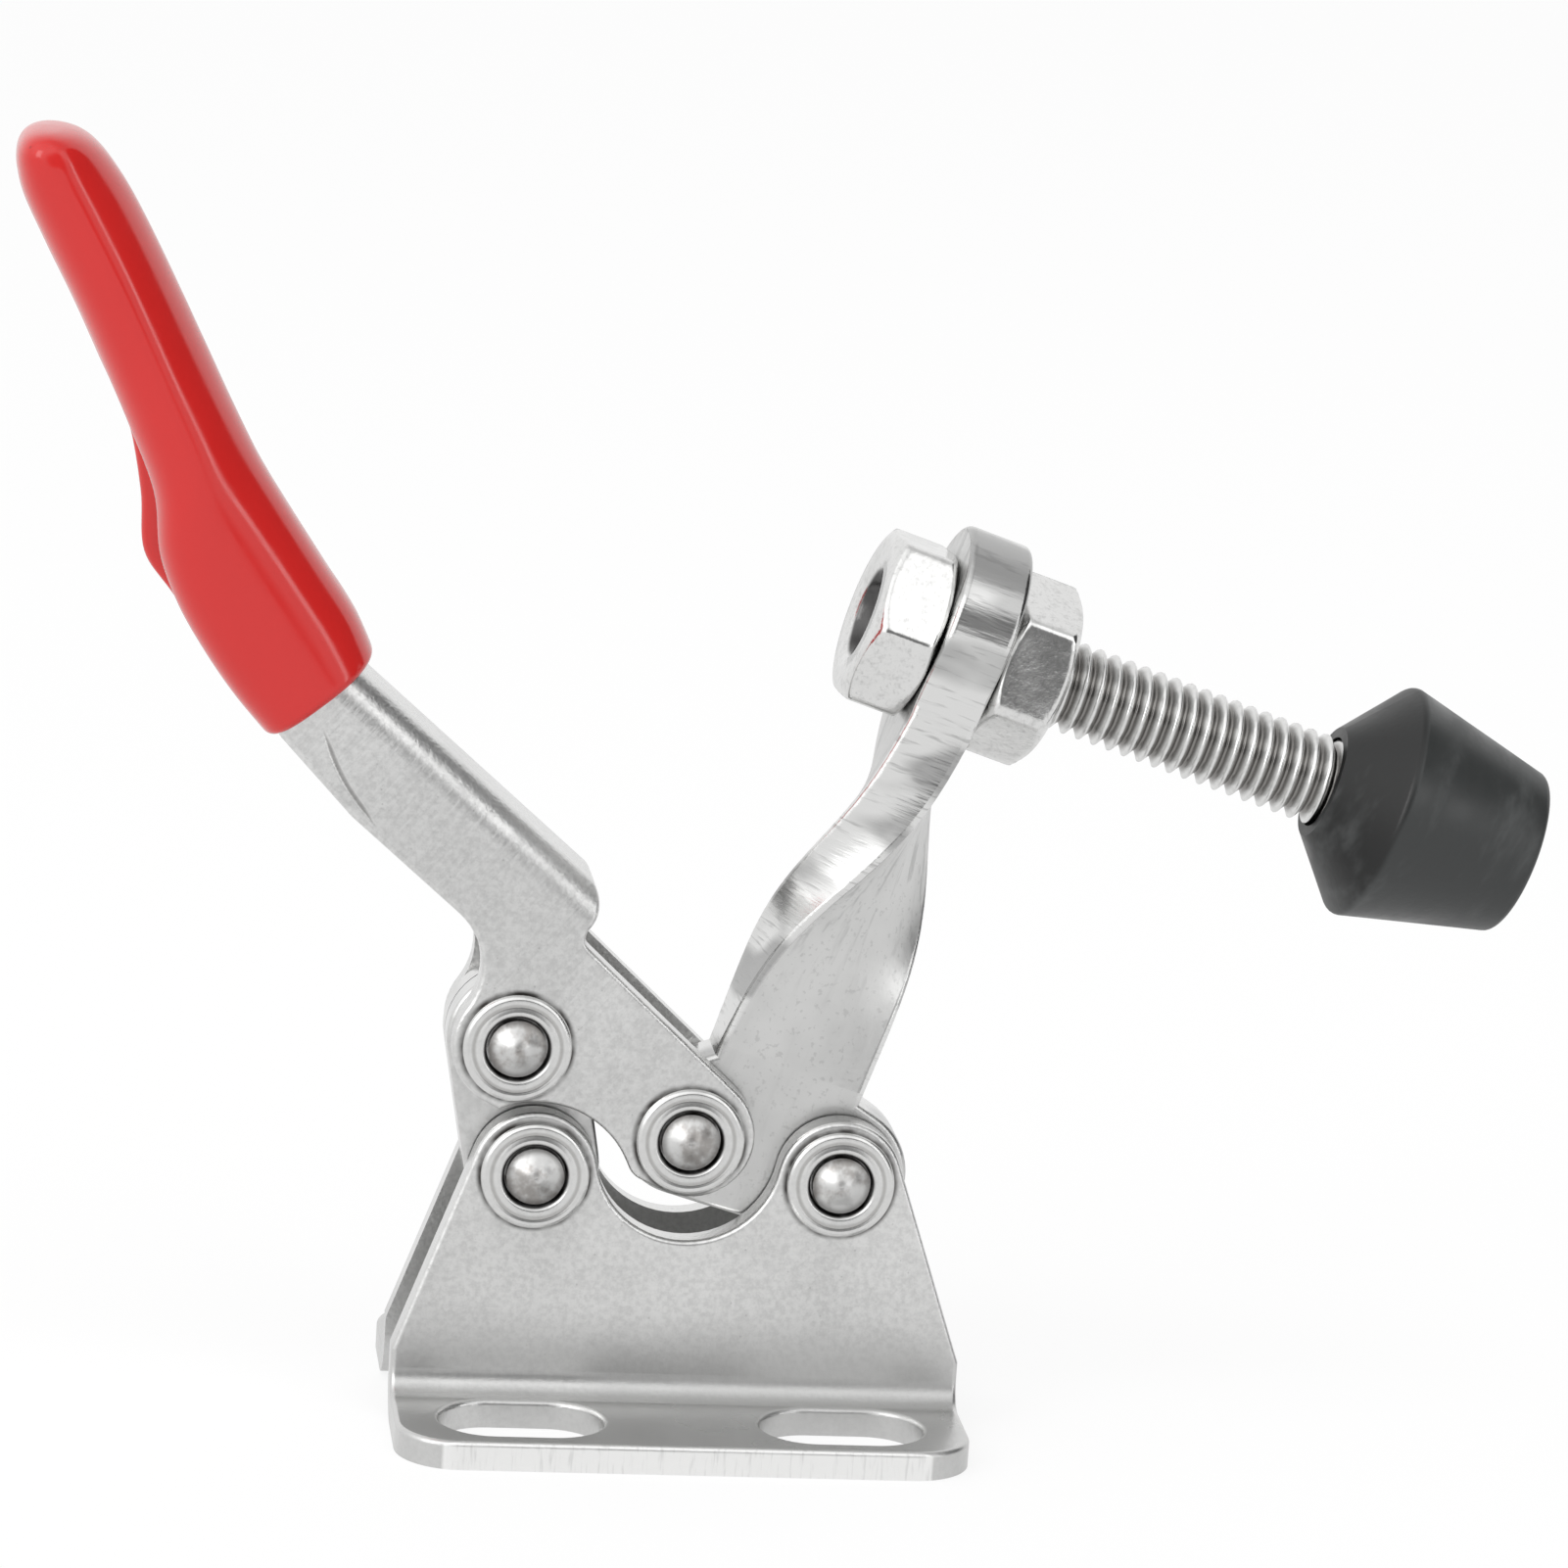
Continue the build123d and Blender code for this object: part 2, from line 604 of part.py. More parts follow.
with BuildPart() as rubber_tip:
    rim_place = tip_start + tip_rim_distance
    front_place = rim_place + tip_front_distance
    with BuildSketch(spindle_plane):
        with BuildLine():
            Polyline(
                (front_place + tip_crown, 0),
                (spindle_end, 0),
                (spindle_end, spindle_diameter / 2),
                (tip_start, spindle_diameter / 2),
                (tip_start, tip_entry_diameter / 2),
                (rim_place, tip_rim_diameter / 2),
                (front_place, tip_front_diameter / 2),
            )
            crown_radius = (tip_front_diameter ** 2 / 4 + tip_crown ** 2) / (2 * tip_crown)
            RadiusArc((front_place, tip_front_diameter / 2), (front_place + tip_crown, 0), crown_radius)
        make_face()
        for corner in ((rim_place, tip_rim_diameter / 2), (front_place, tip_front_diameter / 2)):
            fillet(vertices().sort_by_distance(corner)[0], tip_edge_round)
    revolve(axis=spindle_axis)

# ---------------------------------------------------------------- labels and files
pieces["base_plate_front"] = base_plate_front.part
pieces["base_plate_rear"] = base_plate_rear.part
pieces["link_front"] = link_front.part
pieces["link_rear"] = link_rear.part
pieces["handle_channel"] = handle_channel.part
pieces["handle_grip"] = handle_grip.part
pieces["clamp_arm"] = clamp_arm.part
pieces["spindle"] = spindle.part
pieces["rubber_tip"] = rubber_tip.part
for name, piece in pieces.items():
    piece.label = name
    export_step(piece, f"parts/{name}.step")
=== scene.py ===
"""Small horizontal toggle clamp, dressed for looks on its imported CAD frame.

Lengths are metres; MM turns a length in millimetres into metres. Every piece lies in the CAD
frame: base plates on the floor, Y across the clamp, the front side towards -Y.
"""

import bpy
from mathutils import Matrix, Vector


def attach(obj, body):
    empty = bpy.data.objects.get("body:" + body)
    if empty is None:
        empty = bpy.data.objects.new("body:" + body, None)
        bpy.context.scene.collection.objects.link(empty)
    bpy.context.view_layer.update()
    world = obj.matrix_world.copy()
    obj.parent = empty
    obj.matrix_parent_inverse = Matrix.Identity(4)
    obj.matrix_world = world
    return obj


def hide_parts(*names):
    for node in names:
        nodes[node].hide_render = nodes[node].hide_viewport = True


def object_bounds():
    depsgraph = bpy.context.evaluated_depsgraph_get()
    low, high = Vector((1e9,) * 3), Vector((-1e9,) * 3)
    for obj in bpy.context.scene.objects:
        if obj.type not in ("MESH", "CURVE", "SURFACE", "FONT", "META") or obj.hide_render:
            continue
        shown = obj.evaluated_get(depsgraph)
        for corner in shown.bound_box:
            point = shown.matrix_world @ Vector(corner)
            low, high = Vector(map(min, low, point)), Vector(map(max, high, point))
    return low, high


bl_info = {
    "name": "Toggle Clamp Looks",
    "version": (1, 0, 0),
    "blender": (4, 5, 0),
    "location": "3D View > Sidebar > Clamp",
    "description": "Finishes, threads and studio for a small stainless toggle clamp",
    "category": "Object",
}

import math

import bmesh
import bpy
from mathutils import Matrix, Vector

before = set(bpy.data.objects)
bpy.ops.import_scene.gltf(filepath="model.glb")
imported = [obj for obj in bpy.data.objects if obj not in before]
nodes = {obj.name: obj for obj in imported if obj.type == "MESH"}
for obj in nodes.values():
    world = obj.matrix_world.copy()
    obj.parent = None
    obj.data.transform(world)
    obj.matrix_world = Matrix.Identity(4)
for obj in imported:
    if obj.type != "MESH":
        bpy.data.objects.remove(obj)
cad_low, cad_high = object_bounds()

MM = 0.001

# Pivot pins at rest, (x, z) in millimetres, seen square on: those of the base, with the link and
# the arm, and those of the handle, with the link and the arm.
BASE_PINS = ((-6.47, 10.80), (6.47, 10.80))
HANDLE_PINS = ((-7.5216, 16.3004), (-0.0137, 12.4889))

# The spindle: the middle of the arm's eye, and the way it points, 18 degrees below level.
EYE = Vector((10.22, 0.0, 33.60)) * MM
SPINDLE_DIP = math.radians(18.0)
ALONG = Vector((math.cos(SPINDLE_DIP), 0, -math.sin(SPINDLE_DIP)))
UPWARD = Vector((math.sin(SPINDLE_DIP), 0, math.cos(SPINDLE_DIP)))
SIDEWAYS = Vector((0, 1, 0))

# The spindle's thread, millimetres: crest radius, depth, pitch, whole length, and where it
# starts, counted along the spindle from the eye's middle.
THREAD_CREST, THREAD_DEPTH, THREAD_PITCH = 1.95, 0.38, 0.7
SPINDLE_LENGTH, SPINDLE_START = 26.0, -3.6
ROWS_PER_PITCH = 12

# A lock nut, millimetres: half its width over flats, its height, the radius where a face meets
# its chamfer, the bore and its mouth, how deep that is countersunk, and how far the nut's middle
# lies from the eye's along the spindle.
NUT_FLAT, NUT_HEIGHT, NUT_FACE = 3.5, 2.9, 3.33
NUT_BORE, NUT_MOUTH, NUT_SINK = 1.76, 2.15, 0.3
NUT_MIDDLE = 2.85

# The washers' foot stands this far from the clamp's middle plane, millimetres.
WASHER_FOOT = 2.75

# Half section of a pressed washer, from the foot of its rim over its crown to its mouth:
# distance from the pin and height over the plate, millimetres.
WASHER_PROFILE = (
    (2.275, 0.0), (2.290, 0.20), (2.240, 0.31), (2.120, 0.385), (1.990, 0.395), (1.890, 0.36),
    (1.800, 0.355), (1.700, 0.39), (1.590, 0.42), (1.480, 0.405), (1.390, 0.34), (1.330, 0.22),
    (1.290, 0.06), (1.290, 0.0),
)
WASHER_RADIUS, WASHER_HEIGHT = 2.29, 0.42

# The grip from its collar to its nose, millimetres: a point of its back (x, z), the point
# under it (x, z), half its width, how square its section is, how deep the hollow between its
# two lobes is, and how much lower the far lobe hangs.
GRIP_STATIONS = (
    (-14.17, 32.33, -18.42, 28.82, 3.50, 3.2, 3.0, 0.0),
    (-15.05, 34.10, -19.95, 30.50, 3.50, 3.1, 3.0, 0.0),
    (-16.45, 36.10, -21.25, 32.25, 3.50, 3.1, 3.0, 0.0),
    (-17.90, 38.20, -22.45, 34.20, 3.50, 3.0, 2.9, 0.30),
    (-19.25, 40.25, -23.30, 36.32, 3.50, 2.8, 2.4, 0.95),
    (-20.40, 42.35, -23.65, 38.80, 3.50, 2.6, 1.4, 0.85),
    (-21.55, 44.60, -24.75, 41.45, 3.50, 2.5, 0.3, 0.15),
    (-22.70, 46.85, -25.95, 44.05, 3.50, 2.5, 0.0, 0.0),
    (-23.80, 48.95, -27.10, 46.40, 3.50, 2.5, 0.0, 0.0),
    (-24.90, 50.90, -28.30, 48.65, 3.50, 2.5, 0.0, 0.0),
    (-25.80, 52.20, -29.28, 50.60, 3.50, 2.6, 0.0, 0.0),
    (-26.45, 52.90, -29.62, 51.75, 3.48, 2.8, 0.0, 0.0),
    (-27.05, 53.28, -29.66, 52.50, 3.30, 2.9, 0.0, 0.0),
    (-27.60, 53.44, -29.45, 53.03, 2.80, 2.7, 0.0, 0.0),
    (-28.10, 53.47, -29.05, 53.32, 1.80, 2.5, 0.0, 0.0),
    (-28.58, 53.45, -28.58, 53.45, 0.00, 2.3, 0.0, 0.0),
)
GRIP_LIP = 0.5  # radius of the rounded lip at the collar, millimetres
GRIP_ROWS = 130  # sections between the lip and the nose

# Points in each section of the grip and each ring of a nut.
AROUND = 144

# The die mark in the handle's side: middle of its arc (x, z), radius, millimetres, and the way
# from that middle to the arc.
DIE_MARK = (-8.57, 31.45, 7.84, (-0.861, 0, -0.509))

# Settings of the two nodes that the finishes use most: a smooth step between two levels, and a
# mix of two colours.
SMOOTH = {"interpolation_type": "SMOOTHSTEP"}
COLOURS = {"data_type": "RGBA"}
WHITE = (1, 1, 1)


def linear(code):
    """Scene-linear colour of an sRGB hex code such as #C8201C."""
    parts = [int(code[i : i + 2], 16) / 255 for i in (1, 3, 5)]
    return tuple(c / 12.92 if c <= 0.04045 else ((c + 0.055) / 1.055) ** 2.4 for c in parts)


def times(colour, share):
    """A colour with each of its parts multiplied by share."""
    return tuple(c * share for c in colour)


# --- nodes ---------------------------------------------------------------------------------


def add(tree, kind, *values, **settings):
    """Adds one node with its settings and links.

    Keywords in small letters are the node's own settings, and those with a capital are inputs.
    Values without a keyword go to the inputs in use, in order. A value is a number, a vector, a
    colour of three parts, a socket, or a node, which stands for its first output in use.
    """
    made = tree.nodes.new(kind if "Node" in kind else f"ShaderNode{kind}")
    links = []
    for name, value in settings.items():
        if name.islower():
            setattr(made, name, value)
        else:
            links.append((made.inputs[name.replace("_", " ")], value))
    links += zip([socket for socket in made.inputs if socket.enabled], values)
    for socket, value in links:
        if isinstance(value, bpy.types.Node):
            value = next(output for output in value.outputs if output.enabled)
        if isinstance(value, bpy.types.NodeSocket):
            tree.links.new(value, socket)
        else:
            socket.default_value = (*value, 1.0) if socket.type == "RGBA" else value
    return made


def empty_tree(owner):
    """The node tree of a material or world, emptied."""
    owner.use_nodes = True
    owner.node_tree.nodes.clear()
    return owner.node_tree


def start_material(name):
    """A new material, its tree, and Object coordinates: metres in the clamp's own frame."""
    material = bpy.data.materials.new(name)
    tree = empty_tree(material)
    return material, tree, add(tree, "TexCoord").outputs["Object"]


def coated(tree, paint, *coats):
    """A paint under coats of other colours, each given as how much of it shows and the colour."""
    for share, colour in coats:
        paint = add(tree, "Mix", share, paint, colour, **COLOURS)
    return paint


def piled(tree, *patterns):
    """One height over several patterns, each multiplied by its own height."""
    total = None
    for pattern, high in patterns:
        pattern = add(tree, "Math", pattern, high, operation="MULTIPLY")
        total = add(tree, "Math", total, pattern, operation="ADD") if total else pattern
    return total


def close_material(tree, paint, roughness, height, strength, depth, **more):
    """Ends a finish: its colour, its roughness, and relief from height, depth millimetres deep."""
    bump = add(tree, "Bump", Strength=strength, Distance=depth * MM, Height=height)
    shader = add(tree, "BsdfPrincipled", Base_Color=paint, Roughness=roughness, Normal=bump, **more)
    add(tree, "OutputMaterial", shader)


def grains(tree, place, size, detail=2.0, rough=0.55, stretch=None, turn=(0, 0, 0)):
    """Noise whose lumps are about size millimetres; stretch drags them out along the turned axes."""
    if stretch is not None:
        place = add(tree, "Mapping", place, vector_type="TEXTURE", Rotation=turn, Scale=stretch)
    return add(tree, "TexNoise", place, Scale=0.5 / (size * MM), Detail=detail, Roughness=rough)


def measured(tree, place, origin, way):
    """How far, in metres, a place lies from origin along way."""
    off = add(tree, "VectorMath", place, origin, operation="SUBTRACT")
    return add(tree, "VectorMath", off, way, operation="DOT_PRODUCT")


def pin_distance(tree, place, pins):
    """Distance in metres from the nearest of the pivot pins, which all lie along Y."""
    nearest = None
    for x, z in pins:
        off = add(tree, "VectorMath", place, (x * MM, 0, z * MM), operation="SUBTRACT")
        flat = add(tree, "VectorMath", off, (1, 0, 1), operation="MULTIPLY")
        far = add(tree, "VectorMath", flat, operation="LENGTH")
        nearest = add(tree, "Math", nearest, far, operation="MINIMUM") if nearest else far
    return nearest


def spindle_distance(tree, place):
    """Distance in metres from the spindle's axis."""
    off = add(tree, "VectorMath", place, EYE, operation="SUBTRACT")
    shift = add(tree, "VectorMath", ALONG, measured(tree, place, EYE, ALONG), operation="SCALE")
    radial = add(tree, "VectorMath", off, shift, operation="SUBTRACT")
    return add(tree, "VectorMath", radial, operation="LENGTH")


# --- finishes ------------------------------------------------------------------------------


def tumbled_steel(
    name, colour, edge_colour, roughness, pins=(), lines=None, grain=0.11, foot_edge=None, mark=None
):
    """Stainless sheet or bar, blanked and then tumbled with stones.

    Tumbling leaves a satin grey without direction, with fine dents and faint cloudy patches.
    The sheared edges get rubbed the most, so they look brighter and smoother. Painted shade
    makes a thin dark line round each washer, broken up like dirt, and a softer shade round it.
    """
    material, tree, place = start_material(name)
    # Real stone dents are about 0.05 mm; they are drawn two to four times as coarse, to show.
    dents = grains(tree, place, grain, 3.0, 0.6)
    clouds = grains(tree, place, 3.5, 3.0, 0.6)
    scuffs = grains(tree, place, 0.5, 2.0, 0.5)
    across = add(tree, "SeparateXYZ", add(tree, "NewGeometry").outputs["Normal"]).outputs["Y"]
    across = add(tree, "Math", across, operation="ABSOLUTE")
    edge = add(tree, "MapRange", across, 0.15, 0.7, 1, 0, **SMOOTH)
    cloudy = add(tree, "MapRange", clouds, 0.3, 0.7, 0.0, 0.25, **SMOOTH)
    dented = add(tree, "MapRange", dents, 0.32, 0.72, 0.0, 0.55, **SMOOTH)
    shaded = add(tree, "Math", cloudy, dented, operation="ADD")
    rubbed = add(tree, "Math", edge, 0.7, operation="MULTIPLY")
    dark = times(colour, 0.72)
    paint = coated(tree, colour, (shaded, dark), (rubbed, edge_colour))
    relief = [(dents, 0.55), (scuffs, 0.6)]
    if lines is not None:
        # Rolling and grinding lines, long along one direction and about 0.1 mm wide.
        streaks = grains(tree, place, 0.09, 2.0, 0.6, stretch=(1, 1, 22), turn=(0, lines, 0))
        relief.append((streaks, 0.9))
        patchy = add(tree, "MapRange", clouds, 0.42, 0.62, **SMOOTH)
        streaked = add(tree, "MapRange", streaks, 0.5, 0.75, 0, 0.4, **SMOOTH)
        streaked = add(tree, "Math", streaked, patchy, operation="MULTIPLY")
        paint = coated(tree, paint, (streaked, dark))
    if pins:
        reach = pin_distance(tree, place, pins)
        # Painted shade: a thin dark line in the crease round each washer, broken up like dirt, and a
        # softer shade round it out to 3.6 mm.
        ring = add(tree, "MapRange", reach, 2.30 * MM, 2.55 * MM, 1.0, 0.0, **SMOOTH)
        broken = add(tree, "MapRange", grains(tree, place, 0.7, 2.0), 0.35, 0.6, 0.45, 1.0, **SMOOTH)
        crease_shade_and_grime = add(tree, "Math", ring, broken, operation="MULTIPLY")
        shade_round_washers = add(tree, "MapRange", reach, 2.3 * MM, 3.6 * MM, 0.35, 0.0, **SMOOTH)
        worn = add(tree, "MapRange", scuffs, 0.4, 0.7, **SMOOTH)
        shade_round_washers = add(tree, "Math", shade_round_washers, worn, operation="MULTIPLY")
        # Fine pits and specks from the tumbling stones, 0.7 mm apart.
        pits = add(tree, "TexVoronoi", place, Scale=1 / (0.7 * MM))
        pits = add(tree, "MapRange", pits, 0.03, 0.08, 0.25, 0.0, **SMOOTH)
        # Painted shade: the lower part of each side plate is painted darker towards the bend at its foot.
        height_over = add(tree, "SeparateXYZ", place).outputs["Z"]
        bend_shade = add(tree, "MapRange", height_over, 2.2 * MM, 5.5 * MM, 0.75, 0.0, **SMOOTH)
        uneven = add(tree, "MapRange", clouds, 0.2, 0.6, 0.6, 1, **SMOOTH)
        bend_shade = add(tree, "Math", bend_shade, uneven, operation="MULTIPLY")
        coats = (crease_shade_and_grime, linear("#3E3B39")), (shade_round_washers, dark), (pits, linear("#5A5856")), (bend_shade, dark)
        paint = coated(tree, paint, *coats)
    if foot_edge is not None:
        # The foot's outer edge is sheared: brighter, with fine upright score lines.
        beyond = add(tree, "SeparateXYZ", place).outputs["Y"]
        beyond = add(tree, "Math", beyond, operation="ABSOLUTE")
        start, full = foot_edge - 0.14 * MM, foot_edge - 0.08 * MM
        sheared = add(tree, "MapRange", beyond, start, full, **SMOOTH)
        scores = grains(tree, place, 0.10, 2.0, 0.6, stretch=(1, 1, 9))
        scores = add(tree, "MapRange", scores, 0.5, 0.72, 0.0, 0.35, **SMOOTH)
        paint = coated(tree, paint, (sheared, coated(tree, linear("#FBFBFA"), (scores, dark))))
    if mark is not None:
        # The forming die left a shallow curved dent where the handle's sides start to narrow.
        x, z, radius, way = mark
        arc = add(tree, "Math", pin_distance(tree, place, ((x, z),)), radius * MM, operation="SUBTRACT")
        arc = add(tree, "Math", arc, operation="ABSOLUTE")
        arc = add(tree, "MapRange", arc, 0.03 * MM, 0.16 * MM, 1.0, 0.0, **SMOOTH)
        # Only the arc's middle stretch shows, so it fades out where it bends away.
        toward = measured(tree, place, Vector((x, 0, z)) * MM, Vector(way).normalized())
        toward = add(tree, "MapRange", toward, radius * 0.962 * MM, radius * 0.982 * MM, **SMOOTH)
        dent = add(tree, "Math", arc, toward, operation="MULTIPLY")
        relief.append((dent, -2.0))
        dark_dent = add(tree, "Math", dent, 0.55, operation="MULTIPLY")
        paint = coated(tree, paint, (dark_dent, linear("#6A6866")))
    rough = add(tree, "MapRange", clouds, 0.25, 0.75, roughness - 0.05, roughness + 0.07, **SMOOTH)
    polish = add(tree, "Math", edge, 0.12, operation="MULTIPLY")
    rough = add(tree, "Math", rough, polish, operation="SUBTRACT")
    close_material(tree, paint, rough, piled(tree, *relief), 0.6, 0.035, Metallic=1.0)
    return material


def twisted_bar_steel(name, colour, edge_colour):
    """Flat bar, sheared, twisted and tumbled: speckled satin faces, and sheared edges that came
    out as a rippled mirror with short scores across them."""
    material, tree, place = start_material(name)
    # Millimetres from the eye's middle: down the bar, along the spindle and across the clamp.
    down, along, side = (
        add(tree, "Math", measured(tree, place, EYE, way), sign / MM, operation="MULTIPLY")
        for way, sign in ((UPWARD, -1), (ALONG, 1), (SIDEWAYS, 1))
    )
    # The bar's width lies along the spindle below the twist and along Y above it. The quarter
    # turn starts 19.2 mm under the eye, ends 3 mm under it, and eases in and out.
    level = add(tree, "MapRange", down, 19.2, 3.0, 0.0, 1.0)
    ease = add(tree, "Math", level, math.tau, operation="MULTIPLY")
    ease = add(tree, "Math", ease, operation="SINE")
    ease = add(tree, "Math", ease, 0.6 / math.tau, operation="MULTIPLY")
    turn = add(tree, "Math", level, ease, operation="SUBTRACT")
    turn = add(tree, "Math", turn, math.pi / 2, operation="MULTIPLY")
    width = None
    for part, wave in ((along, "COSINE"), (side, "SINE")):
        part = add(tree, "Math", part, add(tree, "Math", turn, operation=wave), operation="MULTIPLY")
        width = add(tree, "Math", width, part, operation="ADD") if width else part
    width = add(tree, "Math", width, operation="ABSOLUTE")
    in_twist = add(tree, "MapRange", down, 19.0, 19.8, 1.0, 0.0, **SMOOTH)
    bar_edge = add(tree, "MapRange", width, 2.95, 3.12, **SMOOTH)
    bar_edge = add(tree, "Math", bar_edge, in_twist, operation="MULTIPLY")
    # The eye is a disc of 4 mm radius round a point 0.9 mm over the spindle, with a sheared rim.
    below_middle = add(tree, "Math", down, 0.9, operation="ADD")
    from_eye = add(tree, "CombineXYZ", side, below_middle, 0.0)
    from_eye = add(tree, "VectorMath", from_eye, operation="LENGTH")
    rim = add(tree, "MapRange", from_eye, 3.68, 3.80, **SMOOTH)
    upper = add(tree, "MapRange", down, 0.4, 0.8, 1.0, 0.0, **SMOOTH)
    rim = add(tree, "Math", rim, upper, operation="MULTIPLY")
    edge = add(tree, "Math", bar_edge, rim, operation="MAXIMUM")
    # Below the twist the sheared edges are the faces that don't look along Y.
    facing = add(tree, "SeparateXYZ", add(tree, "NewGeometry").outputs["Normal"]).outputs["Y"]
    facing = add(tree, "Math", facing, operation="ABSOLUTE")
    facing = add(tree, "MapRange", facing, 0.3, 0.7, 1.0, 0.0, **SMOOTH)
    below = add(tree, "MapRange", down, 19.0, 19.8, **SMOOTH)
    lower_edge = add(tree, "Math", facing, below, operation="MULTIPLY")
    edge = add(tree, "Math", edge, lower_edge, operation="MAXIMUM")

    dents = grains(tree, place, 0.16, 3.0, 0.65)
    clouds = grains(tree, place, 2.4, 3.0, 0.6)
    specks = grains(tree, place, 0.13, 2.0, 0.6)
    tilt = (0, SPINDLE_DIP, 0)
    drawn = grains(tree, place, 0.22, 2.0, 0.6, stretch=(1, 1, 7), turn=tilt)
    scores = grains(tree, place, 0.10, 2.0, 0.6, stretch=(9, 9, 1), turn=tilt)
    waves = grains(tree, place, 1.25, 1.5, 0.45, stretch=(2, 2, 1), turn=tilt)

    cloudy = add(tree, "MapRange", clouds, 0.35, 0.7, 0.0, 0.3, **SMOOTH)
    specked = add(tree, "MapRange", specks, 0.58, 0.70, 0.0, 0.4, **SMOOTH)
    # The twist drew the bar out, which left lines along it that fade towards its root.
    strained = add(tree, "MapRange", down, 9.0, 17.0, 1.0, 0.15, **SMOOTH)
    lined = add(tree, "MapRange", drawn, 0.52, 0.72, 0.0, 0.75, **SMOOTH)
    lined = add(tree, "Math", lined, strained, operation="MULTIPLY")
    dark = times(colour, 0.62)
    face = coated(tree, colour, (cloudy, dark), (specked, dark), (lined, dark))
    # Painted reflection: dark patches over the edge's ripples stand in for the mirror's mottled
    # reflections; the ripples' relief is real bump.
    rippled = add(tree, "MapRange", waves, 0.46, 0.60, 0.0, 0.75, **SMOOTH)
    scored = add(tree, "MapRange", scores, 0.55, 0.72, 0.0, 0.45, **SMOOTH)
    coats = (rippled, times(edge_colour, 0.42)), (scored, times(edge_colour, 0.35))
    paint = coated(tree, face, (edge, coated(tree, edge_colour, *coats)))
    satin, mirror = piled(tree, (dents, 0.5), (drawn, 0.5)), piled(tree, (waves, 4.0), (scores, 0.8))
    height = add(tree, "Mix", edge, satin, mirror)
    rough = add(tree, "MapRange", edge, 0.0, 1.0, 0.33, 0.19, **SMOOTH)
    close_material(tree, paint, rough, height, 0.5, 0.03, Metallic=1.0)
    return material


def pressed_washer_steel(colour):
    """Thin washer pressed round the rivet's head, then tumbled: a bright rolled rim, and a
    narrow groove against the head, painted dark as shade in the crease and broken up like dirt."""
    material, tree, place = start_material("pressed_washer_steel")
    reach = pin_distance(tree, place, BASE_PINS + HANDLE_PINS)
    dents = grains(tree, place, 0.15, 3.0, 0.6)
    # Painted shade: the groove against the head is painted nearly black, as shade in the crease, broken up
    # like dirt.
    groove = add(tree, "MapRange", reach, 1.33 * MM, 1.50 * MM, 1.0, 0.0, **SMOOTH)
    broken = add(tree, "MapRange", grains(tree, place, 0.5, 2.0), 0.3, 0.6, 0.55, 1.0, **SMOOTH)
    dented = add(tree, "MapRange", dents, 0.35, 0.75, 0.0, 0.3, **SMOOTH)
    # A thin grey line of painted shade in the dip between the rim and the inner swell.
    dip_shade = add(tree, "Math", reach, 1.84 * MM, operation="SUBTRACT")
    dip_shade = add(tree, "Math", dip_shade, operation="ABSOLUTE")
    dip_shade = add(tree, "MapRange", dip_shade, 0.02 * MM, 0.14 * MM, 0.4, 0.0, **SMOOTH)
    crease_shade_and_grime = add(tree, "Math", groove, broken, operation="MULTIPLY")
    coats = (dented, times(colour, 0.75)), (dip_shade, linear("#77746F")), (crease_shade_and_grime, linear("#2A2725"))
    rough = add(tree, "MapRange", groove, 0.0, 1.0, 0.24, 0.5, **SMOOTH)
    close_material(tree, coated(tree, colour, *coats), rough, dents, 0.35, 0.012, Metallic=1.0)
    return material


def hammered_rivet_steel(colour):
    """Rivet head formed by an orbiting punch: shiny, with soft flats and brownish stains, and a
    dark ring round its foot that is painted shade in the crease, with some dirt."""
    material, tree, place = start_material("hammered_rivet_steel")
    reach = pin_distance(tree, place, BASE_PINS + HANDLE_PINS)
    # Painted shade: the head is darkened round its foot, as shade in the crease against the washer, with
    # some dirt.
    foot = add(tree, "MapRange", reach, 0.85 * MM, 1.2 * MM, 0.0, 0.6, **SMOOTH)
    stains = grains(tree, place, 0.45, 3.0, 0.65)
    stains = add(tree, "MapRange", stains, 0.42, 0.68, 0.0, 0.5, **SMOOTH)
    paint = coated(tree, colour, (stains, linear("#6B5E54")), (foot, linear("#332E2A")))
    flats = add(tree, "TexVoronoi", place, feature="SMOOTH_F1", Scale=1 / (0.9 * MM), Smoothness=0.5)
    fine = grains(tree, place, 0.12, 2.0)
    # The punch leaves a low cone: 0.35 mm lower at the foot than in the middle.
    cone = add(tree, "MapRange", reach, 0.0, 1.25 * MM, 1.0, 0.0, **SMOOTH)
    height = piled(tree, (cone, 5.0), (flats, 0.7), (fine, 0.15))
    close_material(tree, paint, 0.38, height, 1.0, 0.07, Metallic=1.0)
    return material


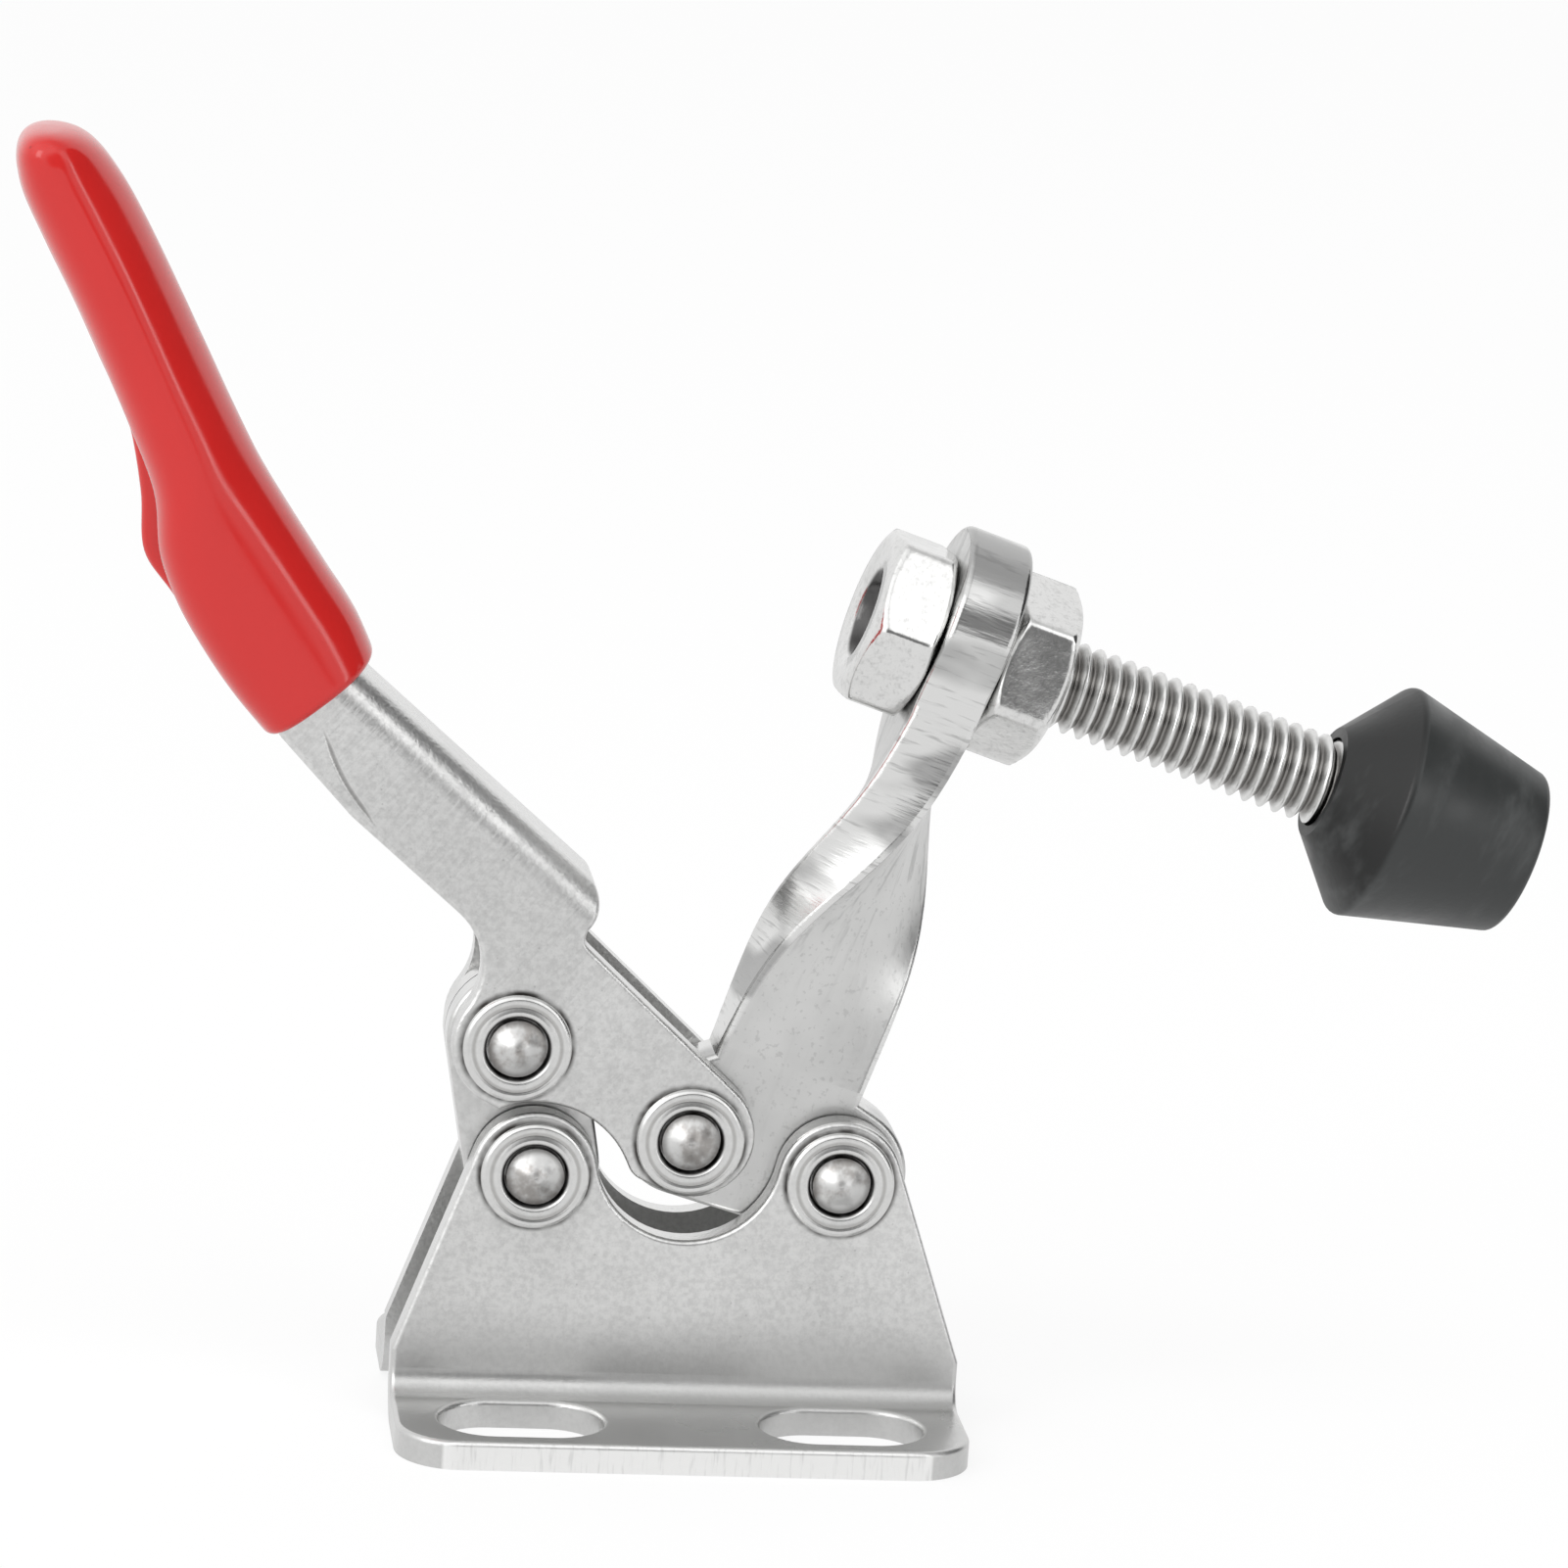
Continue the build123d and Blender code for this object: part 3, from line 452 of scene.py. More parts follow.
def bright_nut_steel(colour):
    """Cold-formed and barrel-polished nut: a mirror with slow ripples and small knocks."""
    material, tree, place = start_material("bright_nut_steel")
    ripples = grains(tree, place, 1.1, 2.0, 0.5)
    knocks = grains(tree, place, 0.2, 3.0, 0.7)
    mottle = grains(tree, place, 0.09, 2.0, 0.6, stretch=(1, 1, 2.5))
    knocked = add(tree, "MapRange", knocks, 0.48, 0.75, 0.0, 0.45, **SMOOTH)
    # Painted reflection: dark mottling on the mirror stands in for its broken-up reflections.
    mottled_reflection = add(tree, "MapRange", mottle, 0.55, 0.75, 0.0, 0.3, **SMOOTH)
    # Painted shade: the bore is painted dark because it sees little light; it also keeps the cutting oil.
    reach = spindle_distance(tree, place)
    bore = add(tree, "MapRange", reach, 1.85 * MM, 2.02 * MM, 0.9, 0.0, **SMOOTH)
    coats = (knocked, times(colour, 0.6)), (mottled_reflection, times(colour, 0.45)), (bore, linear("#2C2A2A"))
    rough = add(tree, "MapRange", ripples, 0.3, 0.7, 0.12, 0.24, **SMOOTH)
    height = piled(tree, (ripples, 1.0), (knocks, 0.35))
    close_material(tree, coated(tree, colour, *coats), rough, height, 0.5, 0.05, Metallic=1.0)
    return material


def rolled_thread_steel(colour):
    """Rolled screw thread: burnished crests, and roots painted darker as shade."""
    material, tree, place = start_material("rolled_thread_steel")
    fine = grains(tree, place, 0.14, 3.0, 0.65)
    worn = add(tree, "MapRange", fine, 0.4, 0.8, 0.0, 0.4, **SMOOTH)
    # Painted shade: the thread's roots are painted darker, as shade falls in them.
    reach = spindle_distance(tree, place)
    root_shade = add(tree, "MapRange", reach, 1.58 * MM, 1.86 * MM, 0.8, 0.0, **SMOOTH)
    # Painted shade: the sawn end lies deep inside the outer nut and is painted dark as shade.
    run = measured(tree, place, EYE, ALONG)
    sunk_end_shade = add(tree, "MapRange", run, -3.50 * MM, -3.35 * MM, 0.85, 0.0, **SMOOTH)
    coats = (worn, times(colour, 0.7)), (root_shade, linear("#67635F")), (sunk_end_shade, linear("#3A3736"))
    close_material(tree, coated(tree, colour, *coats), 0.24, fine, 0.3, 0.015, Metallic=1.0)
    return material


def dipped_vinyl(colour):
    """Soft vinyl, dipped and cured on the handle: thick, glossy and a little uneven, with a few
    dust specks under the skin."""
    material, tree, place = start_material("dipped_vinyl")
    swell = grains(tree, place, 5.0, 1.0, 0.4)
    finest = grains(tree, place, 0.6, 2.0, 0.5)
    dust = add(tree, "TexVoronoi", place, Scale=1 / (2.6 * MM), Randomness=1.0)
    specked = add(tree, "MapRange", dust, 0.02, 0.035, 0.5, 0.0, **SMOOTH)
    thin = add(tree, "MapRange", swell, 0.3, 0.7, 0.0, 0.25, **SMOOTH)
    paint = coated(tree, colour, (thin, times(colour, 0.86)), (specked, linear("#7E1512")))
    height = piled(tree, (swell, 1.0), (finest, 0.05))
    gloss = add(tree, "MapRange", finest, 0.3, 0.7, 0.10, 0.17, **SMOOTH)
    close_material(tree, paint, gloss, height, 0.35, 0.12, IOR=1.53)
    return material


def moulded_rubber(colour):
    """Moulded black rubber: dull with a soft sheen, and greyish rub marks."""
    material, tree, place = start_material("moulded_rubber")
    rubs = grains(tree, place, 2.2, 4.0, 0.65, stretch=(0.5, 1, 1.4), turn=(0, 0.5, 0))
    pores = grains(tree, place, 0.12, 2.0)
    # Painted sheen: past the rim the body is painted greyer where it faces the light, over some wear from
    # handling.
    run = measured(tree, place, EYE, ALONG)
    body_sheen_and_wear = add(tree, "MapRange", run, 19.2 * MM, 19.5 * MM, **SMOOTH)
    scuffed = add(tree, "MapRange", rubs, 0.5, 0.75, 0.0, 0.5, **SMOOTH)
    paint = coated(tree, colour, (body_sheen_and_wear, times(colour, 4.6)), (scuffed, linear("#565858")))
    rough = add(tree, "MapRange", rubs, 0.3, 0.7, 0.3, 0.48, **SMOOTH)
    close_material(tree, paint, rough, pores, 0.35, 0.015, IOR=1.45)
    return material


def finish_nodes(names, material):
    """Gives a finish to CAD parts whose shape is already right."""
    for name in names:
        for slot in nodes[name].material_slots:
            slot.material = material


# --- pieces --------------------------------------------------------------------------------


def new_object(name, data):
    """A new object in the scene, at the origin."""
    made = bpy.data.objects.new(name, data)
    bpy.context.scene.collection.objects.link(made)
    return made


def smoothed(share):
    """Goes from 0 to 1 without a corner while share does."""
    share = min(max(share, 0.0), 1.0)
    return share * share * (3 - 2 * share)


def through(stations, run):
    """The row of values at run, counted in stations, on smooth curves through all of them."""
    last = len(stations) - 1
    start = min(int(run), last - 1)
    t = run - start
    rows = [stations[min(max(start + k, 0), last)] for k in (-1, 0, 1, 2)]
    return [
        0.5 * (2 * b + (c - a) * t + (2 * a - 5 * b + 4 * c - d) * t * t + (3 * b - a - 3 * c + d) * t**3)
        for a, b, c, d in zip(*rows)
    ]


def skin(name, rings, material, loop=False):
    """A closed mesh object over rings of equally many points. loop joins the last ring to the
    first; otherwise both ends are closed flat."""
    count = len(rings[0])
    total = len(rings) * count
    shape = bmesh.new()
    corners = [shape.verts.new(point * MM) for ring in rings for point in ring]
    for low in range(0, total if loop else total - count, count):
        high = (low + count) % total
        for i in range(count):
            j = (i + 1) % count
            shape.faces.new((corners[low + i], corners[low + j], corners[high + j], corners[high + i]))
    if not loop:
        ends = [shape.faces.new(corners[:count]), shape.faces.new(corners[-count:])]
        bmesh.ops.triangulate(shape, faces=ends)
    bmesh.ops.remove_doubles(shape, verts=shape.verts, dist=0.0005 * MM)
    bmesh.ops.recalc_face_normals(shape, faces=shape.faces)
    for face in shape.faces:
        face.smooth = True
    made = bpy.data.meshes.new(name)
    shape.to_mesh(made)
    shape.free()
    made.materials.append(material)
    return new_object(name, made)


def spindle_ring(run, reaches):
    """Points in a circle round the spindle, millimetres: run along it from the eye's middle, and
    each point's distance from its axis."""
    points = []
    for k, reach in enumerate(reaches):
        angle = math.tau * k / len(reaches)
        out = SIDEWAYS * math.cos(angle) + UPWARD * math.sin(angle)
        points.append(EYE / MM + ALONG * run + out * reach)
    return points


def start_tree(name, inputs):
    """An empty Geometry Nodes tree with the given inputs: the tree, each input's identifier, and
    what its input node gives."""
    tree = bpy.data.node_groups.new(name, "GeometryNodeTree")
    identifiers = {}
    for label, kind, default in inputs:
        socket = tree.interface.new_socket(label, in_out="INPUT", socket_type=f"NodeSocket{kind}")
        if default is not None:
            socket.default_value = default
        identifiers[label] = socket.identifier
    tree.interface.new_socket("Geometry", in_out="OUTPUT", socket_type="NodeSocketGeometry")
    return tree, identifiers, add(tree, "NodeGroupInput").outputs


def close_tree(tree, shape, material):
    """Ends a Geometry Nodes tree in a real mesh with its material."""
    real = add(tree, "GeometryNodeRealizeInstances", shape)
    add(tree, "NodeGroupOutput", add(tree, "GeometryNodeSetMaterial", real, Material=material))


def turned_points(tree, mesh, angle, radius, height):
    """Moves a mesh's points to the given angle about Z, distance from Z and height."""
    parts = []
    for wave in ("COSINE", "SINE"):
        share = add(tree, "Math", angle, operation=wave)
        parts.append(add(tree, "Math", share, radius, operation="MULTIPLY"))
    moved = add(tree, "CombineXYZ", *parts, height)
    return add(tree, "GeometryNodeSetPosition", mesh, Position=moved)


def washer_tree():
    """Geometry Nodes that turn a half section into a ring and put one on each point of the given
    mesh, facing away from the clamp's middle plane."""
    tree, identifiers, given = start_tree("Pressed Washers", (
        ("Geometry", "Geometry", None),
        ("Radius", "Float", WASHER_RADIUS * MM),
        ("Height", "Float", WASHER_HEIGHT * MM),
        ("Sides", "Int", 96),
        ("Rows", "Int", 48),
        ("Material", "Material", None),
    ))
    grid = add(tree, "GeometryNodeMeshGrid", 1.0, 1.0, given["Sides"], given["Rows"])
    spot = add(tree, "SeparateXYZ", add(tree, "GeometryNodeInputPosition")).outputs
    angle = add(tree, "Math", spot["X"], 0.5, operation="ADD")
    angle = add(tree, "Math", angle, math.tau, operation="MULTIPLY")
    run = add(tree, "Math", spot["Y"], 0.5, operation="ADD")
    sizes = []
    for column, full, size in ((0, WASHER_RADIUS, "Radius"), (1, WASHER_HEIGHT, "Height")):
        line = add(tree, "FloatCurve", 1.0, run)
        curve = line.mapping.curves[0]
        # The section's points are evenly spread over the curve; the last one is the first again.
        levels = [point[column] / full for point in (*WASHER_PROFILE, WASHER_PROFILE[0])]
        last = len(levels) - 1
        curve.points[0].location = (0.0, levels[0])
        curve.points[1].location = (1.0, levels[last])
        for k in range(1, last):
            curve.points.new(k / last, levels[k])
        for point in curve.points:
            point.handle_type = "VECTOR"
        line.mapping.update()
        sizes.append(add(tree, "Math", line, given[size], operation="MULTIPLY"))
    ring = turned_points(tree, grid, angle, *sizes)
    closed = add(tree, "GeometryNodeMergeByDistance", ring, Distance=0.001 * MM)
    smooth = add(tree, "GeometryNodeSetShadeSmooth", closed, domain="FACE")
    # A ring's own axis is Z; a quarter turn about X lays it along Y, outwards on either side.
    here = add(tree, "SeparateXYZ", add(tree, "GeometryNodeInputPosition")).outputs["Y"]
    tip_over = add(tree, "Math", here, operation="SIGN")
    tip_over = add(tree, "Math", tip_over, -math.pi / 2, operation="MULTIPLY")
    tip_over = add(tree, "CombineXYZ", tip_over, 0.0, 0.0)
    turned = add(tree, "FunctionNodeEulerToRotation", tip_over)
    points = given["Geometry"]
    placed = add(tree, "GeometryNodeInstanceOnPoints", points, Instance=smooth, Rotation=turned)
    close_tree(tree, placed, given["Material"])
    return tree, identifiers


def thread_tree():
    """Geometry Nodes that turn a cylinder into a screw with a rolled thread and bevelled ends,
    laid along the spindle."""
    tree, identifiers, given = start_tree("Rolled Thread", (
        ("Crest Radius", "Float", THREAD_CREST * MM),
        ("Root Radius", "Float", (THREAD_CREST - THREAD_DEPTH) * MM),
        ("Pitch", "Float", THREAD_PITCH * MM),
        ("Length", "Float", SPINDLE_LENGTH * MM),
        ("Start", "Float", SPINDLE_START * MM),
        ("Sides", "Int", 56),
        ("Rows", "Int", 440),
        ("Material", "Material", None),
    ))
    crest, root = given["Crest Radius"], given["Root Radius"]
    rod = add(
        tree, "GeometryNodeMeshCylinder",
        Vertices=given["Sides"], Side_Segments=given["Rows"], Radius=crest, Depth=given["Length"],
    )
    place = add(tree, "SeparateXYZ", add(tree, "GeometryNodeInputPosition")).outputs
    angle = add(tree, "Math", place["Y"], place["X"], operation="ARCTAN2")
    # How far round its turn of the thread each point lies, from 0 to 1.
    turns = add(tree, "Math", angle, math.tau, operation="DIVIDE")
    share = add(tree, "Math", place["Z"], given["Pitch"], operation="DIVIDE")
    share = add(tree, "Math", share, turns, operation="SUBTRACT")
    share = add(tree, "Math", share, operation="FRACT")
    # From 0 on the crest to 1 in the root: a narrow flat crest, straight flanks, a round root.
    fall = add(tree, "Math", share, 0.5, operation="SUBTRACT")
    fall = add(tree, "Math", fall, operation="ABSOLUTE")
    fall = add(tree, "Math", fall, 2.0, operation="MULTIPLY")
    flank = add(tree, "MapRange", fall, 0.10, 0.86, 1.0, 0.0)
    depth = add(tree, "Math", crest, root, operation="SUBTRACT")
    rise = add(tree, "Math", flank, depth, operation="MULTIPLY")
    threaded = add(tree, "Math", root, rise, operation="ADD")
    # Each end is bevelled at 45 degrees from 0.92 of the root's radius.
    half = add(tree, "Math", given["Length"], 0.5, operation="MULTIPLY")
    to_end = add(tree, "Math", place["Z"], operation="ABSOLUTE")
    to_end = add(tree, "Math", half, to_end, operation="SUBTRACT")
    bevel = add(tree, "Math", add(tree, "Math", root, 0.92, operation="MULTIPLY"), to_end, operation="ADD")
    radius = add(tree, "Math", threaded, bevel, operation="MINIMUM")
    shaped = turned_points(tree, rod, angle, radius, place["Z"])
    middle = add(tree, "Math", given["Start"], half, operation="ADD")
    shift = add(tree, "VectorMath", ALONG, middle, operation="SCALE")
    centre = add(tree, "VectorMath", EYE, shift, operation="ADD")
    upright_to_spindle = (0, math.pi / 2 + SPINDLE_DIP, 0)
    laid = add(tree, "GeometryNodeTransform", shaped, Translation=centre, Rotation=upright_to_spindle)
    smooth = add(tree, "GeometryNodeSetShadeSmooth", laid, rod.outputs["Side"], domain="FACE")
    close_tree(tree, smooth, given["Material"])
    return tree, identifiers


def plain_mesh(name, tree, values, points=()):
    """Runs a Geometry Nodes tree once, on the given points and with the given inputs, and keeps
    the result as a mesh object."""
    start = bpy.data.meshes.new(name)
    start.from_pydata(points, [], [])
    maker = new_object(name, start)
    modifier = maker.modifiers.new("Make", "NODES")
    modifier.node_group = tree
    for identifier, value in values.items():
        modifier[identifier] = value
    bpy.context.view_layer.update()
    evaluated = maker.evaluated_get(bpy.context.evaluated_depsgraph_get())
    made = bpy.data.meshes.new_from_object(evaluated)
    maker.modifiers.remove(modifier)
    shape = bmesh.new()
    shape.from_mesh(made)
    if not shape.faces:
        raise RuntimeError(f"{name} came out empty")
    bmesh.ops.recalc_face_normals(shape, faces=shape.faces)
    shape.to_mesh(made)
    shape.free()
    maker.data = made
    made.name = name
    return maker


# --- settings ------------------------------------------------------------------------------


def colour_setting(name, description, code):
    """A colour that the user may change."""
    return bpy.props.FloatVectorProperty(
        name=name, description=description, subtype="COLOR", size=3, min=0, max=1, default=linear(code)
    )


def length_setting(name, description, least, most, default):
    """A length that the user may change, its limits and default given in millimetres."""
    return bpy.props.FloatProperty(
        name=name, description=description, subtype="DISTANCE", unit="LENGTH",
        min=least * MM, max=most * MM, default=default * MM,
    )


class ClampSettings(bpy.types.PropertyGroup):
    """Colours and sizes that a user of the clamp may want to change."""

    sheet_colour: colour_setting(
        "Sheet Steel", "Colour of the tumbled stainless base plates and handle channel", "#E8E8E7"
    )
    bar_colour: colour_setting("Bar Steel", "Colour of the tumbled stainless arm and link bars", "#DADAD9")
    bright_colour: colour_setting(
        "Bright Steel", "Colour of polished nuts, washers, rivets and rubbed edges", "#E4E4E3"
    )
    grip_colour: colour_setting("Grip", "Colour of the dipped vinyl grip", "#C82523")
    tip_colour: colour_setting("Tip", "Colour of the rubber pressure tip", "#141515")
    floor_colour: colour_setting("Floor", "Colour of the studio floor", "#F4F4F4")
    thread_pitch: length_setting(
        "Thread Pitch", "Distance between two crests of the spindle's thread", 0.3, 1.5, THREAD_PITCH
    )
    thread_crest: length_setting(
        "Thread Crest Radius", "Radius over the crests of the spindle's thread", 1.7, 2.0, THREAD_CREST
    )


class CLAMP_OT_base_plates(bpy.types.Operator):
    """Finish the two base plates in tumbled stainless sheet"""

    bl_idname = "clamp.base_plates"
    bl_label = "Base Plates"

    def execute(self, context):
        settings = context.scene.clamp_settings
        steel = tumbled_steel(
            "tumbled_stainless_base",
            settings.sheet_colour,
            settings.bright_colour,
            0.36,
            pins=BASE_PINS,
            foot_edge=cad_high[1],
        )
        finish_nodes(("base_plate_front", "base_plate_rear"), steel)
        return {"FINISHED"}


class CLAMP_OT_handle(bpy.types.Operator):
    """Finish the handle channel in tumbled stainless sheet with grinding lines"""

    bl_idname = "clamp.handle"
    bl_label = "Handle Channel"

    def execute(self, context):
        settings = context.scene.clamp_settings
        steel = tumbled_steel(
            "tumbled_stainless_handle",
            settings.sheet_colour,
            settings.bright_colour,
            0.34,
            pins=HANDLE_PINS,
            lines=math.radians(40.2),
            mark=DIE_MARK,
        )
        finish_nodes(("handle_channel",), steel)
        return {"FINISHED"}


class CLAMP_OT_arm_and_links(bpy.types.Operator):
    """Finish the twisted clamp arm and the two link bars in tumbled flat bar"""

    bl_idname = "clamp.arm_and_links"
    bl_label = "Arm and Links"

    def execute(self, context):
        settings = context.scene.clamp_settings
        bar, bright = settings.bar_colour, settings.bright_colour
        links = tumbled_steel("tumbled_stainless_bar", bar, bright, 0.30, grain=0.22)
        finish_nodes(("link_front", "link_rear"), links)
        finish_nodes(("clamp_arm",), twisted_bar_steel("twisted_stainless_bar", bar, bright))
        return {"FINISHED"}


class CLAMP_OT_rivets_and_washers(bpy.types.Operator):
    """Finish the four pivot rivets and their washers"""

    bl_idname = "clamp.rivets_and_washers"
    bl_label = "Rivets and Washers"

    def execute(self, context):
        bright = context.scene.clamp_settings.bright_colour
        rivets = [name for name in nodes if name.startswith("rivet_")]
        if len(rivets) != 5:
            raise RuntimeError("the frame should hold five rivet pieces")
        finish_nodes(rivets, hammered_rivet_steel(times(bright, 0.9)))
        steel = pressed_washer_steel(times(bright, 0.95))
        tree, identifiers = washer_tree()
        for body, pins in (("base", BASE_PINS), ("handle", HANDLE_PINS)):
            spots = [(x * MM, y * MM, z * MM) for x, z in pins for y in (-WASHER_FOOT, WASHER_FOOT)]
            rings = plain_mesh(f"{body}_washers", tree, {identifiers["Material"]: steel}, spots)
            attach(rings, body)
            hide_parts(*[name for name in nodes if name.startswith(f"washer_{body}_")])
        return {"FINISHED"}


class CLAMP_OT_lock_nuts(bpy.types.Operator):
    """Finish the two lock nuts in polished steel"""

    bl_idname = "clamp.lock_nuts"
    bl_label = "Lock Nuts"

    def execute(self, context):
        steel = bright_nut_steel(context.scene.clamp_settings.bright_colour)
        for name, node, middle, turn in (
            ("outer_lock_nut", "lock_nut_outer", -NUT_MIDDLE, 0.0),
            ("inner_lock_nut", "lock_nut_inner", NUT_MIDDLE, 22.4),
        ):
            nut = skin(name, self.rings(middle, math.radians(turn)), steel, loop=True)
            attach(nut, "arm")
            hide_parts(node)
        return {"FINISHED"}

    def hexagon(self, angle):
        """Distance from a hexagon's middle to its side at an angle, with its corners rounded."""
        sharp = 60
        sides = [math.exp(math.cos(angle - math.radians(30 + 60 * n)) * sharp) for n in range(6)]
        return NUT_FLAT * sharp / math.log(sum(sides))

    def rings(self, middle, turn):
        """Rings over a hexagon nut with chamfered faces, and through its countersunk bore."""
        half, soft, slope = NUT_HEIGHT / 2, 0.05, 1.732  # faces chamfered at 30 degrees
        sides = [self.hexagon(math.tau * k / AROUND - turn) for k in range(AROUND)]
        # Height and the chamfer's radius there; a tiny round takes the face's own edge off.
        rows = [
            (-half + step, NUT_FACE + slope * step - 0.12 * math.exp(-step / 0.03))
            for step in (0.0, 0.04, 0.10, 0.18, 0.28, 0.40, 0.55, 0.80, half)
        ]
        rows += [(-place, reach) for place, reach in reversed(rows[:-1])]
        made = []
        for place, reach in rows:
            # The lesser of the hexagon and the chamfer, with a soft change from one to the other.
            chamfer = math.exp(-reach / soft)
            reaches = [-soft * math.log(math.exp(-side / soft) + chamfer) for side in sides]
            made.append(spindle_ring(middle + place, reaches))
        for place, reach in (
            (half, NUT_MOUTH), (half - NUT_SINK, NUT_BORE), (NUT_SINK - half, NUT_BORE), (-half, NUT_MOUTH)
        ):
            made.append(spindle_ring(middle + place, [reach] * AROUND))
        return made


class CLAMP_OT_spindle(bpy.types.Operator):
    """Build the threaded spindle in place of the plain CAD rod"""

    bl_idname = "clamp.spindle"
    bl_label = "Threaded Spindle"

    def execute(self, context):
        settings = context.scene.clamp_settings
        tree, identifiers = thread_tree()
        values = {
            "Pitch": settings.thread_pitch,
            "Crest Radius": settings.thread_crest,
            "Root Radius": settings.thread_crest - THREAD_DEPTH * MM,
            "Rows": int(SPINDLE_LENGTH * MM / settings.thread_pitch * ROWS_PER_PITCH),
            "Material": rolled_thread_steel(settings.bright_colour),
        }
        values = {identifiers[label]: value for label, value in values.items()}
        screw = plain_mesh("threaded_spindle", tree, values)
        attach(screw, "arm")
        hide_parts("spindle")
        return {"FINISHED"}


class CLAMP_OT_grip(bpy.types.Operator):
    """Finish the grip in dipped red vinyl"""

    bl_idname = "clamp.grip"
    bl_label = "Grip"

    def execute(self, context):
        grip = skin("vinyl_grip", self.rings(), dipped_vinyl(context.scene.clamp_settings.grip_colour))
        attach(grip, "handle")
        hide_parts("handle_grip")
        return {"FINISHED"}

    def rings(self):
        """Sections of the grip from the collar, with its rounded lip, to the nose."""
        first, second = (Vector(row[:2]) + Vector(row[2:4]) for row in GRIP_STATIONS[:2])
        step = (second - first).length / 2
        runs = [d / step for d in (0.0, 0.02, 0.06, 0.12, 0.20, 0.30, 0.40, 0.5)]
        left = len(GRIP_STATIONS) - 1 - runs[-1]
        runs += [runs[-1] + left * (k + 1) / GRIP_ROWS for k in range(GRIP_ROWS)]
        return [self.section(run, max(GRIP_LIP - run * step, 0.0)) for run in runs]

    def section(self, run, off):
        """Points round the grip at run, counted in stations; off is what is left of the lip."""
        back_x, back_z, under_x, under_z, half_width, square, groove, hang = through(GRIP_STATIONS, run)
        inset = GRIP_LIP - math.sqrt(GRIP_LIP**2 - off**2)
        back, under = Vector((back_x, 0, back_z)), Vector((under_x, 0, under_z))
        middle, rise = (back + under) / 2, back - under
        half_depth = max(rise.length / 2 - inset, 0.0)
        rise = rise.normalized() if rise.length > 1e-6 else Vector((1, 0, 0))
        half_width = max(half_width - inset, 0.0)
        points = []
        for k in range(AROUND):
            angle = math.tau * k / AROUND
            sine, cosine = math.sin(angle), math.cos(angle)
            # The back is rounder than the two lobes.
            power = 2 / square if cosine < 0 else 2 / (square - 0.7)
            across = half_width * math.copysign(abs(sine) ** power, sine)
            high = half_depth * math.copysign(abs(cosine) ** power, cosine)
            if cosine < 0:
                # The hollow ends 1.5 mm from the middle; the far lobe hangs lower past 0.9 mm.
                high += max(groove, 0.0) * (1 - smoothed((abs(across) - 0.62) / 0.88))
                high -= max(hang, 0.0) * smoothed(across - 0.9) * abs(cosine)
            points.append(middle + rise * high + SIDEWAYS * across)
        return points


class CLAMP_OT_rubber_tip(bpy.types.Operator):
    """Finish the pressure tip in moulded black rubber"""

    bl_idname = "clamp.rubber_tip"
    bl_label = "Rubber Tip"

    def execute(self, context):
        finish_nodes(("rubber_tip",), moulded_rubber(context.scene.clamp_settings.tip_colour))
        return {"FINISHED"}


